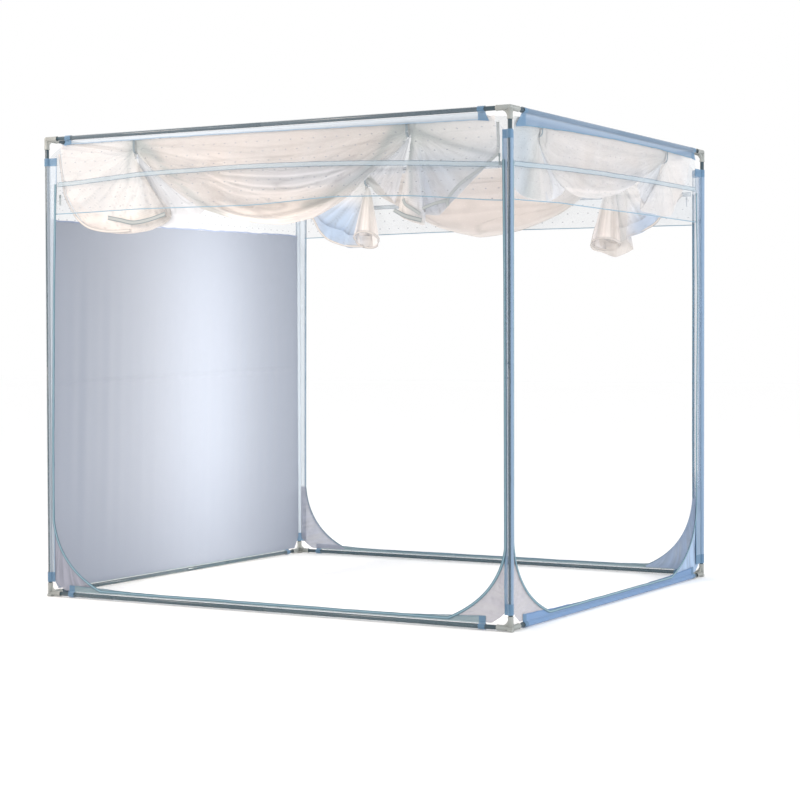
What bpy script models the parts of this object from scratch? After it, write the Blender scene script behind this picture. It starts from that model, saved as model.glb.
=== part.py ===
"""Mosquito net canopy on a box frame of tubes, with its three doors drawn up.

Metres, +Z up. The frame stands on z = 0. The head panel is at -X, the foot at +X,
and -Y is the near long side. Each side of the canopy has its own flat coordinates:
s runs along the side, w runs inwards from the tube axes, and z is the height.
"""
import math

import bmesh
import bpy
import numpy as np
from mathutils import Matrix, Vector

# ---------------------------------------------------------------- driving sizes
LENGTH = 2.0           # between post axes, head to foot
WIDTH = 1.8            # between post axes, near to far
BASE_Z = 0.0125        # height of the base rail axes
TOP_Z = 1.7745         # height of the top rail axes
TUBE_R = 0.008
TUBE_SIDES = 10
FIT = 0.0003           # clearance between touching pieces

SOCKET_R = 0.0098      # outside of a corner joint's sockets
SOCKET_STOP = 0.012    # a tube's end stops this far from the corner
ARM_X = 0.052
ARM_Y = 0.062
ARM_Z = 0.040
GUSSET_R = 0.025       # curve between two sockets
GUSSET_T = 0.006
FOOT_PAD = 0.020       # square pad under a base joint

SLEEVE_IN = 0.0094
SLEEVE_OUT = 0.0109
SLEEVE_SIDES = 8
FLAP_T = 0.0015
POST_SLEEVE_Z = (0.057, 1.701)
SLEEVE_END = 0.095     # a rail's sleeve stops this far from the post axis

NET_T = 0.0012
NET_W = FLAP_T / 2 + FIT + NET_T / 2       # nets lie on the flaps' inner face
TAPE_T = 0.0012
TAPE_W = NET_W - NET_T / 2 - FIT - TAPE_T / 2
TAPE_WIDTH = 0.018
ZIP_W = -FLAP_T / 2 - FIT - TAPE_T / 2     # the zip lies on the flaps' outer face
ZIP_WIDTH = 0.013
PANEL_T = 0.0015
PANEL_LOW = 0.0262
PANEL_W = FLAP_T / 2 + FIT + PANEL_T / 2
PANEL_SIDE = 0.0125    # the panel stops this far from the post axes
PANEL_CUT = 0.047      # and its lowest edge this far, clear of the base joints

ZIP_HEIGHTS = (1.60, 1.20, 0.60)           # points of a zip tape up a post's flap
ZIP_LAP = 0.3          # share of the tape's width that lies over the flap

BAND_TOP = 1.757
BAND_COLUMNS = 17
BAND_LAP = 0.007       # a band's ends lie this far over the post flaps
TAPE_INSET = 0.10      # a sewn tape stops this share of a column short of the band's end
NET_LOW = 0.0265       # lowest edge of the nets that stand on the base flaps
CORNER_POINTS = 9      # points round a doorway's lower corner
GORE_POST = SLEEVE_OUT + 0.0012            # a gore's outer edge, from the post axis
GORE_CORNER = ((GORE_POST, 0.20), (GORE_POST, 0.13), (GORE_POST, 0.072), (0.040, 0.047),
               (0.072, NET_LOW), (0.13, NET_LOW), (0.20, NET_LOW))
GORE_LAP = 0.004       # how far its last point lies inside the doorway's edge
GORE_PUFF = 0.004      # how far its middle stands inwards
ROOF_Z = 1.752
ROOF_T = 0.0012
ROOF_SAG = 0.014
ROOF_CUT = 0.095       # corner cut away from the roof net
ROOF_TAUT = 0.89       # the net is flat beyond this share of its half size

DOOR_T = 0.002
DOOR_TOP = ROOF_Z - ROOF_T / 2 - 0.0007
DOOR_W = 0.0078        # depth of a door's top edge
DOOR_ROWS = 11
DOOR_STEPS = 2         # columns from one fold of the table to the next
TIE_WIDTH = 0.011
TIE_T = 0.0014
TIE_W = 0.0038
TIE_BACK = 0.0600      # depth of a ribbon's run up behind the door
TIE_SLACK = 0.0045     # a ribbon lies this far below the bundle's underside

COLOURS = {
    "steel": ((0.33, 0.40, 0.43), 0.35, 0.9),
    "joint": ((0.69, 0.71, 0.69), 0.45, 0.0),
    "sleeve": ((0.25, 0.42, 0.62), 0.8, 0.0),
    "net": ((0.90, 0.87, 0.84), 0.9, 0.0),
    "door": ((0.88, 0.84, 0.80), 0.9, 0.0),
    "panel": ((0.66, 0.70, 0.80), 0.85, 0.0),
    "tape": ((0.54, 0.65, 0.70), 0.8, 0.0),
    "tie": ((0.20, 0.27, 0.30), 0.8, 0.0),
}

# How each side of the canopy lies: where its plane is, which way s runs, which way is inwards.
SIDES = {
    "near": {"at": (0, -WIDTH / 2), "s": (1, 0), "in": (0, 1), "half": LENGTH / 2,
             "ends": ("head", "foot"), "posts": ("head_near", "foot_near")},
    "far": {"at": (0, WIDTH / 2), "s": (1, 0), "in": (0, -1), "half": LENGTH / 2,
            "ends": ("head", "foot"), "posts": ("head_far", "foot_far")},
    "foot": {"at": (LENGTH / 2, 0), "s": (0, 1), "in": (-1, 0), "half": WIDTH / 2,
             "ends": ("near", "far"), "posts": ("foot_near", "foot_far")},
    "head": {"at": (-LENGTH / 2, 0), "s": (0, 1), "in": (1, 0), "half": WIDTH / 2,
             "ends": ("near", "far"), "posts": ("head_near", "head_far")},
}
POSTS = {"head_near": (-1, -1), "head_far": (-1, 1), "foot_near": (1, -1), "foot_far": (1, 1)}

# Width of a post sleeve's flap along a side, from the post axis, at four heights.
FLAP_Z = (POST_SLEEVE_Z[0], 0.60, 1.20, POST_SLEEVE_Z[1])
FLAP_WIDTHS = {
    ("head_near", "near"): (0.023, 0.024, 0.034, 0.048),
    ("head_near", "head"): (0.020, 0.020, 0.020, 0.020),
    ("head_far", "far"): (0.036, 0.038, 0.042, 0.046),
    ("head_far", "head"): (0.020, 0.020, 0.020, 0.020),
    ("foot_near", "near"): (0.023, 0.023, 0.024, 0.029),
    ("foot_near", "foot"): (0.023, 0.024, 0.025, 0.026),
    ("foot_far", "foot"): (0.064, 0.067, 0.054, 0.078),
    ("foot_far", "far"): (0.040, 0.042, 0.042, 0.044),
}

# How far each top sleeve's flap hangs below the rail axis, from its -s end to its +s end.
TOP_FLAPS = {
    "near": (0.025, 0.024, 0.027, 0.032, 0.037),
    "far": (0.028, 0.026, 0.026, 0.027, 0.030),
    "foot": (0.052, 0.037, 0.029, 0.027, 0.035),
    "head": (0.028, 0.026, 0.026, 0.026, 0.028),
}

# Height of each base sleeve's standing flap above the rail axis, from -s to +s.
BASE_FLAPS = {
    "near": (0.036, 0.026, 0.021, 0.025, 0.020, 0.026, 0.037),
    "far": (0.036, 0.025, 0.020, 0.023, 0.021, 0.024, 0.036),
    "foot": (0.037, 0.029, 0.024, 0.022, 0.024, 0.028, 0.037),
    "head": (0.030, 0.030, 0.030, 0.030, 0.030, 0.030, 0.030),
}

# The gore in each doorway corner: how high it climbs the post, how far it runs along the rail.
GORES = {
    ("near", -1): {"high": 0.285, "reach": 0.250},
    ("near", 1): {"high": 0.270, "reach": 0.245},
    ("far", -1): {"high": 0.300, "reach": 0.250},
    ("far", 1): {"high": 0.315, "reach": 0.252},
    ("foot", -1): {"high": 0.290, "reach": 0.312},
    ("foot", 1): {"high": 0.300, "reach": 0.342},
}

# The sewn tape's centre line and the band's lower edge: (s, tape height, edge height).
BANDS = {
    "near": ((-0.95, 1.598, 1.484), (-0.58, 1.621, 1.490), (-0.05, 1.627, 1.484),
             (0.30, 1.620, 1.502), (0.63, 1.606, 1.492), (0.98, 1.584, 1.461)),
    "far": ((-0.96, 1.600, 1.474), (-0.30, 1.606, 1.480), (0.30, 1.608, 1.477), (0.96, 1.602, 1.472)),
    "foot": ((-0.88, 1.588, 1.466), (-0.50, 1.601, 1.477), (-0.15, 1.609, 1.478),
             (0.30, 1.614, 1.480), (0.83, 1.615, 1.480)),
    "head": ((-0.89, 1.600, 1.461), (-0.40, 1.604, 1.468), (-0.05, 1.606, 1.473),
             (0.40, 1.606, 1.479), (0.89, 1.604, 1.487)),
}

# Where the ribbons hold each door up, and the height of the bundle's underside there.
TIES = {
    "near": ((-0.584, 1.7045), (0.598, 1.7030)),
    "far": ((-0.600, 1.7040), (0.604, 1.7040)),
    "foot": ((-0.637, 1.7030), (0.524, 1.7050)),
}

# One row for each fold of a drawn-up door. rail: place along the top edge.
# low_s, low_w, low_z: the fold's lowest point. back_w, back_z: where its inner layer ends.
# pull: how much the fold is drawn into the nearest tie, 0 to 1.
DOOR_FIELDS = ("rail", "low_s", "low_w", "low_z", "back_w", "back_z", "pull")
DOORS = {
    "near": (
        (-0.938, -0.928, 0.020, 1.571, 0.028, 1.600, 0.00),
        (-0.900, -0.889, 0.024, 1.503, 0.036, 1.545, 0.00),
        (-0.840, -0.841, 0.028, 1.449, 0.046, 1.500, 0.00),
        (-0.770, -0.763, 0.032, 1.418, 0.056, 1.475, 0.12),
        (-0.700, -0.683, 0.034, 1.408, 0.062, 1.470, 0.35),
        (-0.645, -0.610, 0.026, 1.408, 0.058, 1.480, 0.70),
        (-0.612, -0.530, 0.034, 1.420, 0.062, 1.500, 1.00),
        (-0.599, -0.440, 0.030, 1.466, 0.050, 1.530, 1.00),
        (-0.595, -0.597, 0.030, 1.640, 0.042, 1.672, 1.00),
        (-0.570, -0.516, 0.038, 1.638, 0.062, 1.692, 1.00),
        (-0.535, -0.440, 0.040, 1.572, 0.080, 1.668, 0.70),
        (-0.420, -0.300, 0.040, 1.486, 0.090, 1.645, 0.25),
        (-0.210, -0.110, 0.040, 1.431, 0.094, 1.628, 0.00),
        (0.030, 0.060, 0.040, 1.413, 0.096, 1.620, 0.00),
        (0.240, 0.205, 0.040, 1.436, 0.094, 1.626, 0.00),
        (0.420, 0.330, 0.040, 1.498, 0.090, 1.645, 0.25),
        (0.550, 0.450, 0.040, 1.594, 0.078, 1.672, 0.70),
        (0.584, 0.540, 0.036, 1.652, 0.060, 1.700, 1.00),
        (0.609, 0.611, 0.030, 1.640, 0.042, 1.672, 1.00),
        (0.613, 0.551, 0.030, 1.452, 0.036, 1.485, 1.00),
        (0.624, 0.600, 0.020, 1.420, 0.028, 1.452, 1.00),
        (0.640, 0.655, 0.024, 1.404, 0.034, 1.436, 1.00),
        (0.660, 0.640, 0.056, 1.440, 0.066, 1.470, 0.90),
        (0.700, 0.690, 0.066, 1.436, 0.078, 1.466, 0.55),
        (0.760, 0.745, 0.048, 1.468, 0.060, 1.500, 0.15),
        (0.850, 0.848, 0.032, 1.547, 0.044, 1.575, 0.00),
        (0.938, 0.946, 0.022, 1.622, 0.030, 1.650, 0.00),
    ),
    "far": (
        (-0.930, -0.918, 0.020, 1.600, 0.028, 1.630, 0.00),
        (-0.880, -0.872, 0.026, 1.556, 0.040, 1.600, 0.00),
        (-0.800, -0.800, 0.034, 1.492, 0.056, 1.550, 0.10),
        (-0.720, -0.720, 0.044, 1.446, 0.068, 1.510, 0.40),
        (-0.660, -0.694, 0.066, 1.432, 0.078, 1.480, 0.85),
        (-0.628, -0.640, 0.078, 1.440, 0.088, 1.475, 1.00),
        (-0.619, -0.512, 0.050, 1.416, 0.058, 1.462, 1.00),
        (-0.613, -0.590, 0.026, 1.410, 0.034, 1.446, 1.00),
        (-0.580, -0.540, 0.038, 1.655, 0.062, 1.700, 1.00),
        (-0.530, -0.400, 0.040, 1.582, 0.080, 1.670, 0.60),
        (-0.350, -0.230, 0.040, 1.500, 0.090, 1.645, 0.15),
        (-0.060, -0.020, 0.040, 1.449, 0.096, 1.630, 0.00),
        (0.200, 0.180, 0.040, 1.474, 0.092, 1.640, 0.00),
        (0.420, 0.370, 0.040, 1.540, 0.082, 1.665, 0.40),
        (0.580, 0.520, 0.038, 1.640, 0.062, 1.700, 1.00),
        (0.615, 0.617, 0.034, 1.640, 0.046, 1.672, 1.00),
        (0.619, 0.515, 0.040, 1.412, 0.050, 1.450, 1.00),
        (0.625, 0.570, 0.024, 1.380, 0.032, 1.420, 1.00),
        (0.634, 0.630, 0.040, 1.362, 0.052, 1.402, 1.00),
        (0.650, 0.700, 0.026, 1.392, 0.040, 1.430, 0.90),
        (0.690, 0.690, 0.068, 1.430, 0.080, 1.470, 0.60),
        (0.760, 0.760, 0.052, 1.452, 0.066, 1.500, 0.15),
        (0.840, 0.836, 0.036, 1.520, 0.050, 1.560, 0.00),
        (0.920, 0.918, 0.022, 1.602, 0.030, 1.630, 0.00),
    ),
    "foot": (
        (-0.850, -0.858, 0.020, 1.548, 0.028, 1.580, 0.00),
        (-0.810, -0.790, 0.026, 1.500, 0.040, 1.550, 0.00),
        (-0.740, -0.700, 0.036, 1.488, 0.056, 1.540, 0.25),
        (-0.680, -0.610, 0.030, 1.484, 0.056, 1.540, 0.70),
        (-0.657, -0.530, 0.042, 1.482, 0.060, 1.540, 1.00),
        (-0.652, -0.490, 0.034, 1.522, 0.050, 1.570, 1.00),
        (-0.648, -0.650, 0.034, 1.640, 0.046, 1.672, 1.00),
        (-0.622, -0.560, 0.038, 1.640, 0.062, 1.690, 1.00),
        (-0.560, -0.430, 0.040, 1.556, 0.080, 1.655, 0.60),
        (-0.380, -0.270, 0.040, 1.518, 0.090, 1.640, 0.10),
        (-0.140, -0.090, 0.040, 1.520, 0.094, 1.640, 0.00),
        (0.100, 0.080, 0.040, 1.546, 0.090, 1.645, 0.00),
        (0.300, 0.250, 0.040, 1.594, 0.082, 1.665, 0.30),
        (0.480, 0.420, 0.038, 1.660, 0.064, 1.700, 0.90),
        (0.535, 0.537, 0.036, 1.640, 0.048, 1.672, 1.00),
        (0.539, 0.360, 0.044, 1.512, 0.056, 1.560, 1.00),
        (0.548, 0.450, 0.028, 1.500, 0.040, 1.550, 1.00),
        (0.570, 0.550, 0.044, 1.498, 0.060, 1.550, 0.80),
        (0.630, 0.640, 0.034, 1.500, 0.052, 1.555, 0.40),
        (0.710, 0.700, 0.032, 1.556, 0.048, 1.600, 0.00),
        (0.790, 0.770, 0.024, 1.630, 0.034, 1.662, 0.00),
    ),
}

NECK = {"half": 0.0075, "low_w": 0.034, "back_w": 0.050, "rise": 0.025}
SWAG_PLEAT = 0.0045    # depth of the folds that run from tie to tie
SWAG_PLEATS = 3.0
TAIL_PLEAT = 0.0030    # depth of the folds that fall from a tie


# ---------------------------------------------------------------- general helpers
def finish_material(name):
    """One plain finish for a kind of piece."""
    found = bpy.data.materials.get(name)
    if found:
        return found
    colour, rough, metal = COLOURS[name]
    material = bpy.data.materials.new(name)
    material.use_nodes = True
    shader = material.node_tree.nodes["Principled BSDF"]
    shader.inputs["Base Color"].default_value = (*colour, 1)
    shader.inputs["Roughness"].default_value = rough
    shader.inputs["Metallic"].default_value = metal
    material.diffuse_color = (*colour, 1)
    return material


def add_object(name, mesh, finish):
    """Link a mesh to the scene as one named piece."""
    piece = bpy.data.objects.new(name, mesh)
    mesh.materials.append(finish_material(finish))
    bpy.context.scene.collection.objects.link(piece)
    return piece


def mesh_from(name, points, faces):
    """A mesh with its faces turned to point out."""
    mesh = bpy.data.meshes.new(name)
    mesh.from_pydata([tuple(p) for p in points], [], faces)
    work = bmesh.new()
    work.from_mesh(mesh)
    bmesh.ops.recalc_face_normals(work, faces=work.faces)
    work.to_mesh(mesh)
    work.free()
    return mesh


def on_side(side, s, w, z):
    """Points of a side's flat coordinates as points in space."""
    plan = SIDES[side]
    s, w, z = np.broadcast_arrays(np.asarray(s, float), w, z)
    x = plan["at"][0] + s * plan["s"][0] + w * plan["in"][0]
    y = plan["at"][1] + s * plan["s"][1] + w * plan["in"][1]
    return np.stack([x, y, z], axis=-1)


def sheet(name, grid, thickness, finish):
    """A cloth: a grid of points, rows by columns, thickened evenly about itself."""
    rows, columns = grid.shape[:2]
    faces = []
    for r in range(rows - 1):
        for c in range(columns - 1):
            first = r * columns + c
            faces.append((first, first + 1, first + columns + 1, first + columns))
    mesh = bpy.data.meshes.new(name)
    mesh.from_pydata([tuple(p) for p in grid.reshape(-1, 3)], [], faces)
    piece = add_object(name, mesh, finish)
    wall = piece.modifiers.new("cloth", "SOLIDIFY")
    wall.thickness = thickness
    wall.offset = 0.0
    return piece


def swept(name, cells, stations, finish):
    """A solid swept through stations: each holds the same cross-section's points in space.

    cells are the faces of the cross-section. Their shared edges lie inside the solid and get
    no wall, and every other edge becomes a strip of walls from station to station.
    """
    size = len(stations[0])
    points = [tuple(p) for station in stations for p in station]
    faces = [tuple(cell) for cell in cells]
    last = (len(stations) - 1) * size
    faces += [tuple(last + i for i in reversed(cell)) for cell in cells]
    edges = [(cell[i], cell[(i + 1) % len(cell)]) for cell in cells for i in range(len(cell))]
    rim = [edge for edge in edges if (edge[1], edge[0]) not in edges]
    for k in range(len(stations) - 1):
        for a, b in rim:
            faces.append((k * size + b, k * size + a, (k + 1) * size + a, (k + 1) * size + b))
    return add_object(name, mesh_from(name, points, faces), finish)


def strip(name, line, across, lift, place, finish):
    """A ribbon with a rectangular section, swept along a line drawn in one plane.

    across is half the section's size in that plane, and lift is half its size out of it.
    place turns a point of the line and its lift into a point in space.
    """
    run = np.gradient(line, axis=0)
    run /= np.linalg.norm(run, axis=1)[:, None]
    shift = np.column_stack([-run[:, 1], run[:, 0]]) * across
    corners = ((1, -1), (-1, -1), (-1, 1), (1, 1))
    stations = [[place(point + a * move, b * lift) for a, b in corners]
                for point, move in zip(line, shift)]
    swept(name, [(0, 1, 2, 3)], stations, finish)


def along_table(rows, s):
    """Straight-line readings from a table whose first column is s."""
    table = np.array(rows)
    return [np.interp(s, table[:, 0], table[:, k]) for k in range(1, table.shape[1])]


def curve_through(points, count, dense=12):
    """count points spaced evenly along a smooth curve through the given points."""
    points = np.asarray(points, float)
    padded = np.vstack([2 * points[0] - points[1], points, 2 * points[-1] - points[-2]])
    pieces = []
    t = np.linspace(0, 1, dense, endpoint=False)[:, None]
    for k in range(len(points) - 1):
        a, b, c, d = padded[k:k + 4]
        pieces.append(0.5 * (2 * b + (c - a) * t + (2 * a - 5 * b + 4 * c - d) * t ** 2
                             + (3 * b - a - 3 * c + d) * t ** 3))
    path = np.vstack(pieces + [points[-1:]])
    run = np.concatenate([[0], np.cumsum(np.linalg.norm(np.diff(path, axis=0), axis=1))])
    wanted = np.linspace(0, run[-1], count)
    return np.stack([np.interp(wanted, run, path[:, k]) for k in range(path.shape[1])], axis=1)


# ---------------------------------------------------------------- the tube frame
def cylinder(work, start, end, radius, sides=TUBE_SIDES):
    """A closed cylinder between two points, added to a bmesh."""
    start, end = Vector(start), Vector(end)
    run = end - start
    turn = run.to_track_quat("Z", "Y").to_matrix().to_4x4()
    place = Matrix.Translation((start + end) / 2) @ turn
    bmesh.ops.create_cone(work, cap_ends=True, cap_tris=False, segments=sides,
                          radius1=radius, radius2=radius, depth=run.length, matrix=place)


def tube(name, start, end):
    """One straight length of tube."""
    work = bmesh.new()
    cylinder(work, start, end, TUBE_R)
    mesh = bpy.data.meshes.new(name)
    work.to_mesh(mesh)
    work.free()
    mesh.shade_smooth()
    mesh.set_sharp_from_angle(angle=math.radians(40))
    add_object(name, mesh, "steel")


def build_tubes():
    """Four posts, four top rails and four base rails, ending inside the corner joints."""
    stop = SOCKET_STOP + FIT
    for post, (sx, sy) in POSTS.items():
        x, y = sx * LENGTH / 2, sy * WIDTH / 2
        tube(f"post_{post}", (x, y, BASE_Z + stop), (x, y, TOP_Z - stop))
    for level, z in (("top", TOP_Z), ("base", BASE_Z)):
        for side, plan in SIDES.items():
            reach = plan["half"] - stop
            ends = on_side(side, np.array([-reach, reach]), 0.0, z)
            tube(f"rail_{level}_{side}", ends[0], ends[1])


def gusset_outline():
    """The web between two sockets, with its free edge a quarter circle, in two axes."""
    inner = 0.92 * SOCKET_R + GUSSET_R
    arc = [(inner - GUSSET_R * math.sin(a), inner - GUSSET_R * math.cos(a))
           for a in np.linspace(0, math.pi / 2, 4)]
    root = SOCKET_R / 4
    return [(root, root), (inner, root)] + arc + [(root, inner)]


def scratch_object(work, name):
    """A hidden solid that the joint's shape is made with."""
    mesh = bpy.data.meshes.new(name)
    bmesh.ops.recalc_face_normals(work, faces=work.faces)
    work.to_mesh(mesh)
    work.free()
    piece = bpy.data.objects.new(name, mesh)
    bpy.context.scene.collection.objects.link(piece)
    piece.hide_render = True
    piece.display_type = "WIRE"
    return piece


def joint_mesh(level):
    """A corner joint at the origin with its sockets along +X, +Y and +Z, as one mesh."""
    arms = {"x": ((1, 0, 0), ARM_X), "y": ((0, 1, 0), ARM_Y), "z": ((0, 0, 1), ARM_Z)}
    added = []
    work = bmesh.new()
    bmesh.ops.create_uvsphere(work, u_segments=TUBE_SIDES, v_segments=5, radius=SOCKET_R * 1.02)
    body = scratch_object(work, "joint_hub")
    for k, (axis, (way, length)) in enumerate(arms.items()):
        work = bmesh.new()
        cylinder(work, Vector(way) * 0.001 * k, Vector(way) * length, SOCKET_R)
        added.append(scratch_object(work, f"joint_arm_{axis}"))
    for axis in ("x", "y"):
        work = bmesh.new()
        ring = [work.verts.new((a, -GUSSET_T / 2, z) if axis == "x" else (-GUSSET_T / 2, a, z))
                for a, z in gusset_outline()]
        face = work.faces.new(ring)
        raised = bmesh.ops.extrude_face_region(work, geom=[face])
        moved = [g for g in raised["geom"] if isinstance(g, bmesh.types.BMVert)]
        shift = (0, GUSSET_T, 0) if axis == "x" else (GUSSET_T, 0, 0)
        bmesh.ops.translate(work, verts=moved, vec=shift)
        added.append(scratch_object(work, f"joint_web_{axis}"))
    if level == "base":
        work = bmesh.new()
        deep = BASE_Z - SOCKET_R / 3
        bmesh.ops.create_cube(work, size=1.0, matrix=Matrix.Translation((0, 0, deep / 2 - BASE_Z))
                              @ Matrix.Diagonal((FOOT_PAD, FOOT_PAD, deep, 1)))
        added.append(scratch_object(work, "joint_pad"))
    cuts = []
    for axis, (way, length) in arms.items():
        work = bmesh.new()
        cylinder(work, Vector(way) * SOCKET_STOP, Vector(way) * (length + 0.01), TUBE_R + FIT)
        cuts.append(scratch_object(work, f"joint_bore_{axis}"))
    for other, operation in [(p, "UNION") for p in added] + [(p, "DIFFERENCE") for p in cuts]:
        step = body.modifiers.new(other.name, "BOOLEAN")
        step.operation = operation
        step.object = other
    bpy.context.view_layer.update()
    shaped = body.evaluated_get(bpy.context.evaluated_depsgraph_get())
    mesh = bpy.data.meshes.new_from_object(shaped)
    for piece in [body] + added + cuts:
        bpy.data.objects.remove(piece)
    return mesh


def build_joints():
    """The eight corner joints, each a turned or mirrored copy of one shape for its level."""
    for level, z, up in (("top", TOP_Z, -1), ("base", BASE_Z, 1)):
        pattern = joint_mesh(level)
        for post, (sx, sy) in POSTS.items():
            work = bmesh.new()
            work.from_mesh(pattern)
            work.transform(Matrix.Diagonal((-sx, -sy, up, 1)))
            if sx * sy * up < 0:
                bmesh.ops.reverse_faces(work, faces=work.faces)
            mesh = bpy.data.meshes.new(f"joint_{level}_{post}")
            work.to_mesh(mesh)
            work.free()
            mesh.shade_smooth()
            mesh.set_sharp_from_angle(angle=math.radians(40))
            piece = add_object(mesh.name, mesh, "joint")
            piece.location = (sx * LENGTH / 2, sy * WIDTH / 2, z)
        bpy.data.meshes.remove(pattern)


# ---------------------------------------------------------------- sleeves on the tubes
def sleeve_section(flaps):
    """A ring of cloth with flat flaps: its cells, and a function that gives its points.

    flaps are angles in degrees. The returned function takes one width for each flap, measured
    from the tube's axis, and gives the cross-section's points in two axes.
    """
    half = math.degrees(math.asin(FLAP_T / 2 / SLEEVE_OUT))
    angles = [i * 360 / SLEEVE_SIDES for i in range(SLEEVE_SIDES)]
    angles = [a for a in angles if all(abs((a - f + 180) % 360 - 180) > 1 for f in flaps)]
    angles = sorted(angles + [f - half for f in flaps] + [f + half for f in flaps])
    count = len(angles)
    cells = [(i, (i + 1) % count, count + (i + 1) % count, count + i) for i in range(count)]
    for k, flap in enumerate(flaps):
        low = angles.index(flap - half)
        first = 2 * count + 2 * k
        cells.append((low, first, first + 1, (low + 1) % count))

    def points(widths):
        ring = [(r * math.cos(math.radians(a)), r * math.sin(math.radians(a)))
                for r in (SLEEVE_OUT, SLEEVE_IN) for a in angles]
        for flap, width in zip(flaps, widths):
            way = Vector((math.cos(math.radians(flap)), math.sin(math.radians(flap))))
            across = Vector((-way.y, way.x)) * FLAP_T / 2
            ring += [tuple(way * width - across), tuple(way * width + across)]
        return np.array(ring)

    return cells, points


def build_post_sleeves():
    """A sleeve on each post, with a flap along each of the two sides that meet there."""
    for post, (sx, sy) in POSTS.items():
        long_side = "near" if sy < 0 else "far"
        end_side = "head" if sx < 0 else "foot"
        flaps = (180.0 if sx > 0 else 0.0, 270.0 if sy > 0 else 90.0)
        cells, points = sleeve_section(flaps)
        stations = []
        for k, z in enumerate(FLAP_Z):
            widths = (FLAP_WIDTHS[post, long_side][k], FLAP_WIDTHS[post, end_side][k])
            flat = points(widths)
            height = np.full(len(flat), z)
            stations.append(np.column_stack([flat[:, 0] + sx * LENGTH / 2,
                                             flat[:, 1] + sy * WIDTH / 2, height]))
        swept(f"sleeve_post_{post}", cells, stations, "sleeve")


def build_rail_sleeves():
    """Sleeves on the rails: those above with a hanging flap, those below with a standing one."""
    levels = (("top", TOP_Z, 270.0, TOP_FLAPS), ("base", BASE_Z, 90.0, BASE_FLAPS))
    for level, z, way, table in levels:
        cells, points = sleeve_section((way,))
        for side, plan in SIDES.items():
            reach = plan["half"] - SLEEVE_END
            places = np.linspace(-reach, reach, len(table[side]))
            stations = []
            for s, width in zip(places, table[side]):
                flat = points((width,))
                stations.append(on_side(side, s, flat[:, 0], z + flat[:, 1]))
            swept(f"sleeve_{level}_{side}", cells, stations, "sleeve")


# ---------------------------------------------------------------- flat nets and tapes
def flap_edge(side, end, z):
    """Where a post sleeve's flap ends along a side, as s."""
    post = SIDES[side]["posts"][end > 0]
    width = np.interp(z, FLAP_Z, FLAP_WIDTHS[post, side])
    return end * (SIDES[side]["half"] - width)


def ripple(side, s, amount):
    """Depth of the slight waves in a flat cloth, along s."""
    phase = {"near": 0.4, "far": 1.9, "foot": 3.0, "head": 0.9}[side]
    return amount * (np.sin(7.3 * s + phase) + 0.6 * np.sin(16.1 * s + 2.3 * phase))


def build_bands():
    """The net bands under the top rails, and the tape sewn across three of them."""
    share = np.linspace(-1, 1, BAND_COLUMNS)
    shoulder_z = POST_SLEEVE_Z[1] - 0.002
    for side, plan in SIDES.items():
        reach = [np.where(share < 0, -flap_edge(side, -1, z), flap_edge(side, 1, z)) + BAND_LAP
                 for z in (shoulder_z, 1.60, 1.48)]
        top_reach = plan["half"] - SLEEVE_END + 0.002
        tape_z, edge_z = along_table(BANDS[side], share * plan["half"])
        half = TAPE_WIDTH / 2
        # Each row: s, height, and how loosely the net hangs there.
        rows = [(share * top_reach, np.full(BAND_COLUMNS, BAND_TOP), 0.0),
                (share * reach[0], np.full(BAND_COLUMNS, shoulder_z), 0.25),
                (share * reach[1], tape_z + half, 0.7),
                (share * reach[1], tape_z - half, 0.7),
                (share * reach[2], edge_z, 1.0)]
        grid = []
        for s, z, loose in rows:
            fade = np.clip((1 - np.abs(share)) * 6, 0, 1)
            depth = NET_W + loose * fade * (ripple(side, s, 0.0013) + 0.0021)
            grid.append(on_side(side, s, depth, z))
        grid = np.array(grid)
        sheet(f"band_{side}", grid, NET_T, "net")
        if side == "head":
            continue
        inward = np.array([*plan["in"], 0.0])
        tape = grid[2:4] + (TAPE_W - NET_W) * inward
        tape[:, 0] += TAPE_INSET * (tape[:, 1] - tape[:, 0])
        tape[:, -1] += TAPE_INSET * (tape[:, -2] - tape[:, -1])
        sheet(f"tape_{side}", tape, TAPE_T, "tape")


def build_head_panel():
    """The dense panel from the head band's edge down to the base flap."""
    share = np.linspace(-1, 1, 13)
    half = SIDES["head"]["half"]
    top = along_table(BANDS["head"], share * (half - PANEL_SIDE))[1] - NET_T / 2
    fade = np.clip((1 - np.abs(share)) * 5, 0, 1)
    grid = []
    for down in (0, 0.1, 0.22, 0.35, 0.5, 0.65, 0.8, 0.966, 1):
        s = share * (half - (PANEL_SIDE if down < 1 else PANEL_CUT))
        z = top + (PANEL_LOW - top) * down
        loose = math.sin(math.pi * down)
        depth = PANEL_W + fade * loose * (ripple("head", s * 0.8 + 0.1 * down, 0.003) + 0.005)
        grid.append(on_side("head", s, depth, z))
    sheet("head_panel", np.array(grid), PANEL_T, "panel")


def build_roof():
    """The roof net, a little slack, with its four corners cut away."""
    edge = NET_W + NET_T / 2 + FIT + 0.0001
    half_x, half_y = LENGTH / 2 - edge, WIDTH / 2 - edge
    share = np.array([-1, -ROOF_TAUT, -0.62, -0.32, 0, 0.32, 0.62, ROOF_TAUT, 1])
    slack = np.clip(1 - (share / ROOF_TAUT) ** 2, 0, 1)
    grid = []
    for v, loose in zip(share, slack):
        reach = half_x if abs(v) < 1 else LENGTH / 2 - ROOF_CUT
        x = share * reach
        x[[1, -2]] = np.array([-1, 1]) * (LENGTH / 2 - ROOF_CUT) * (1 if abs(v) < 1 else 0.97)
        z = ROOF_Z - ROOF_SAG * slack * loose
        grid.append(np.column_stack([x, np.full(len(x), half_y * v), z]))
    sheet("roof_net", np.array(grid), ROOF_T, "net")


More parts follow.
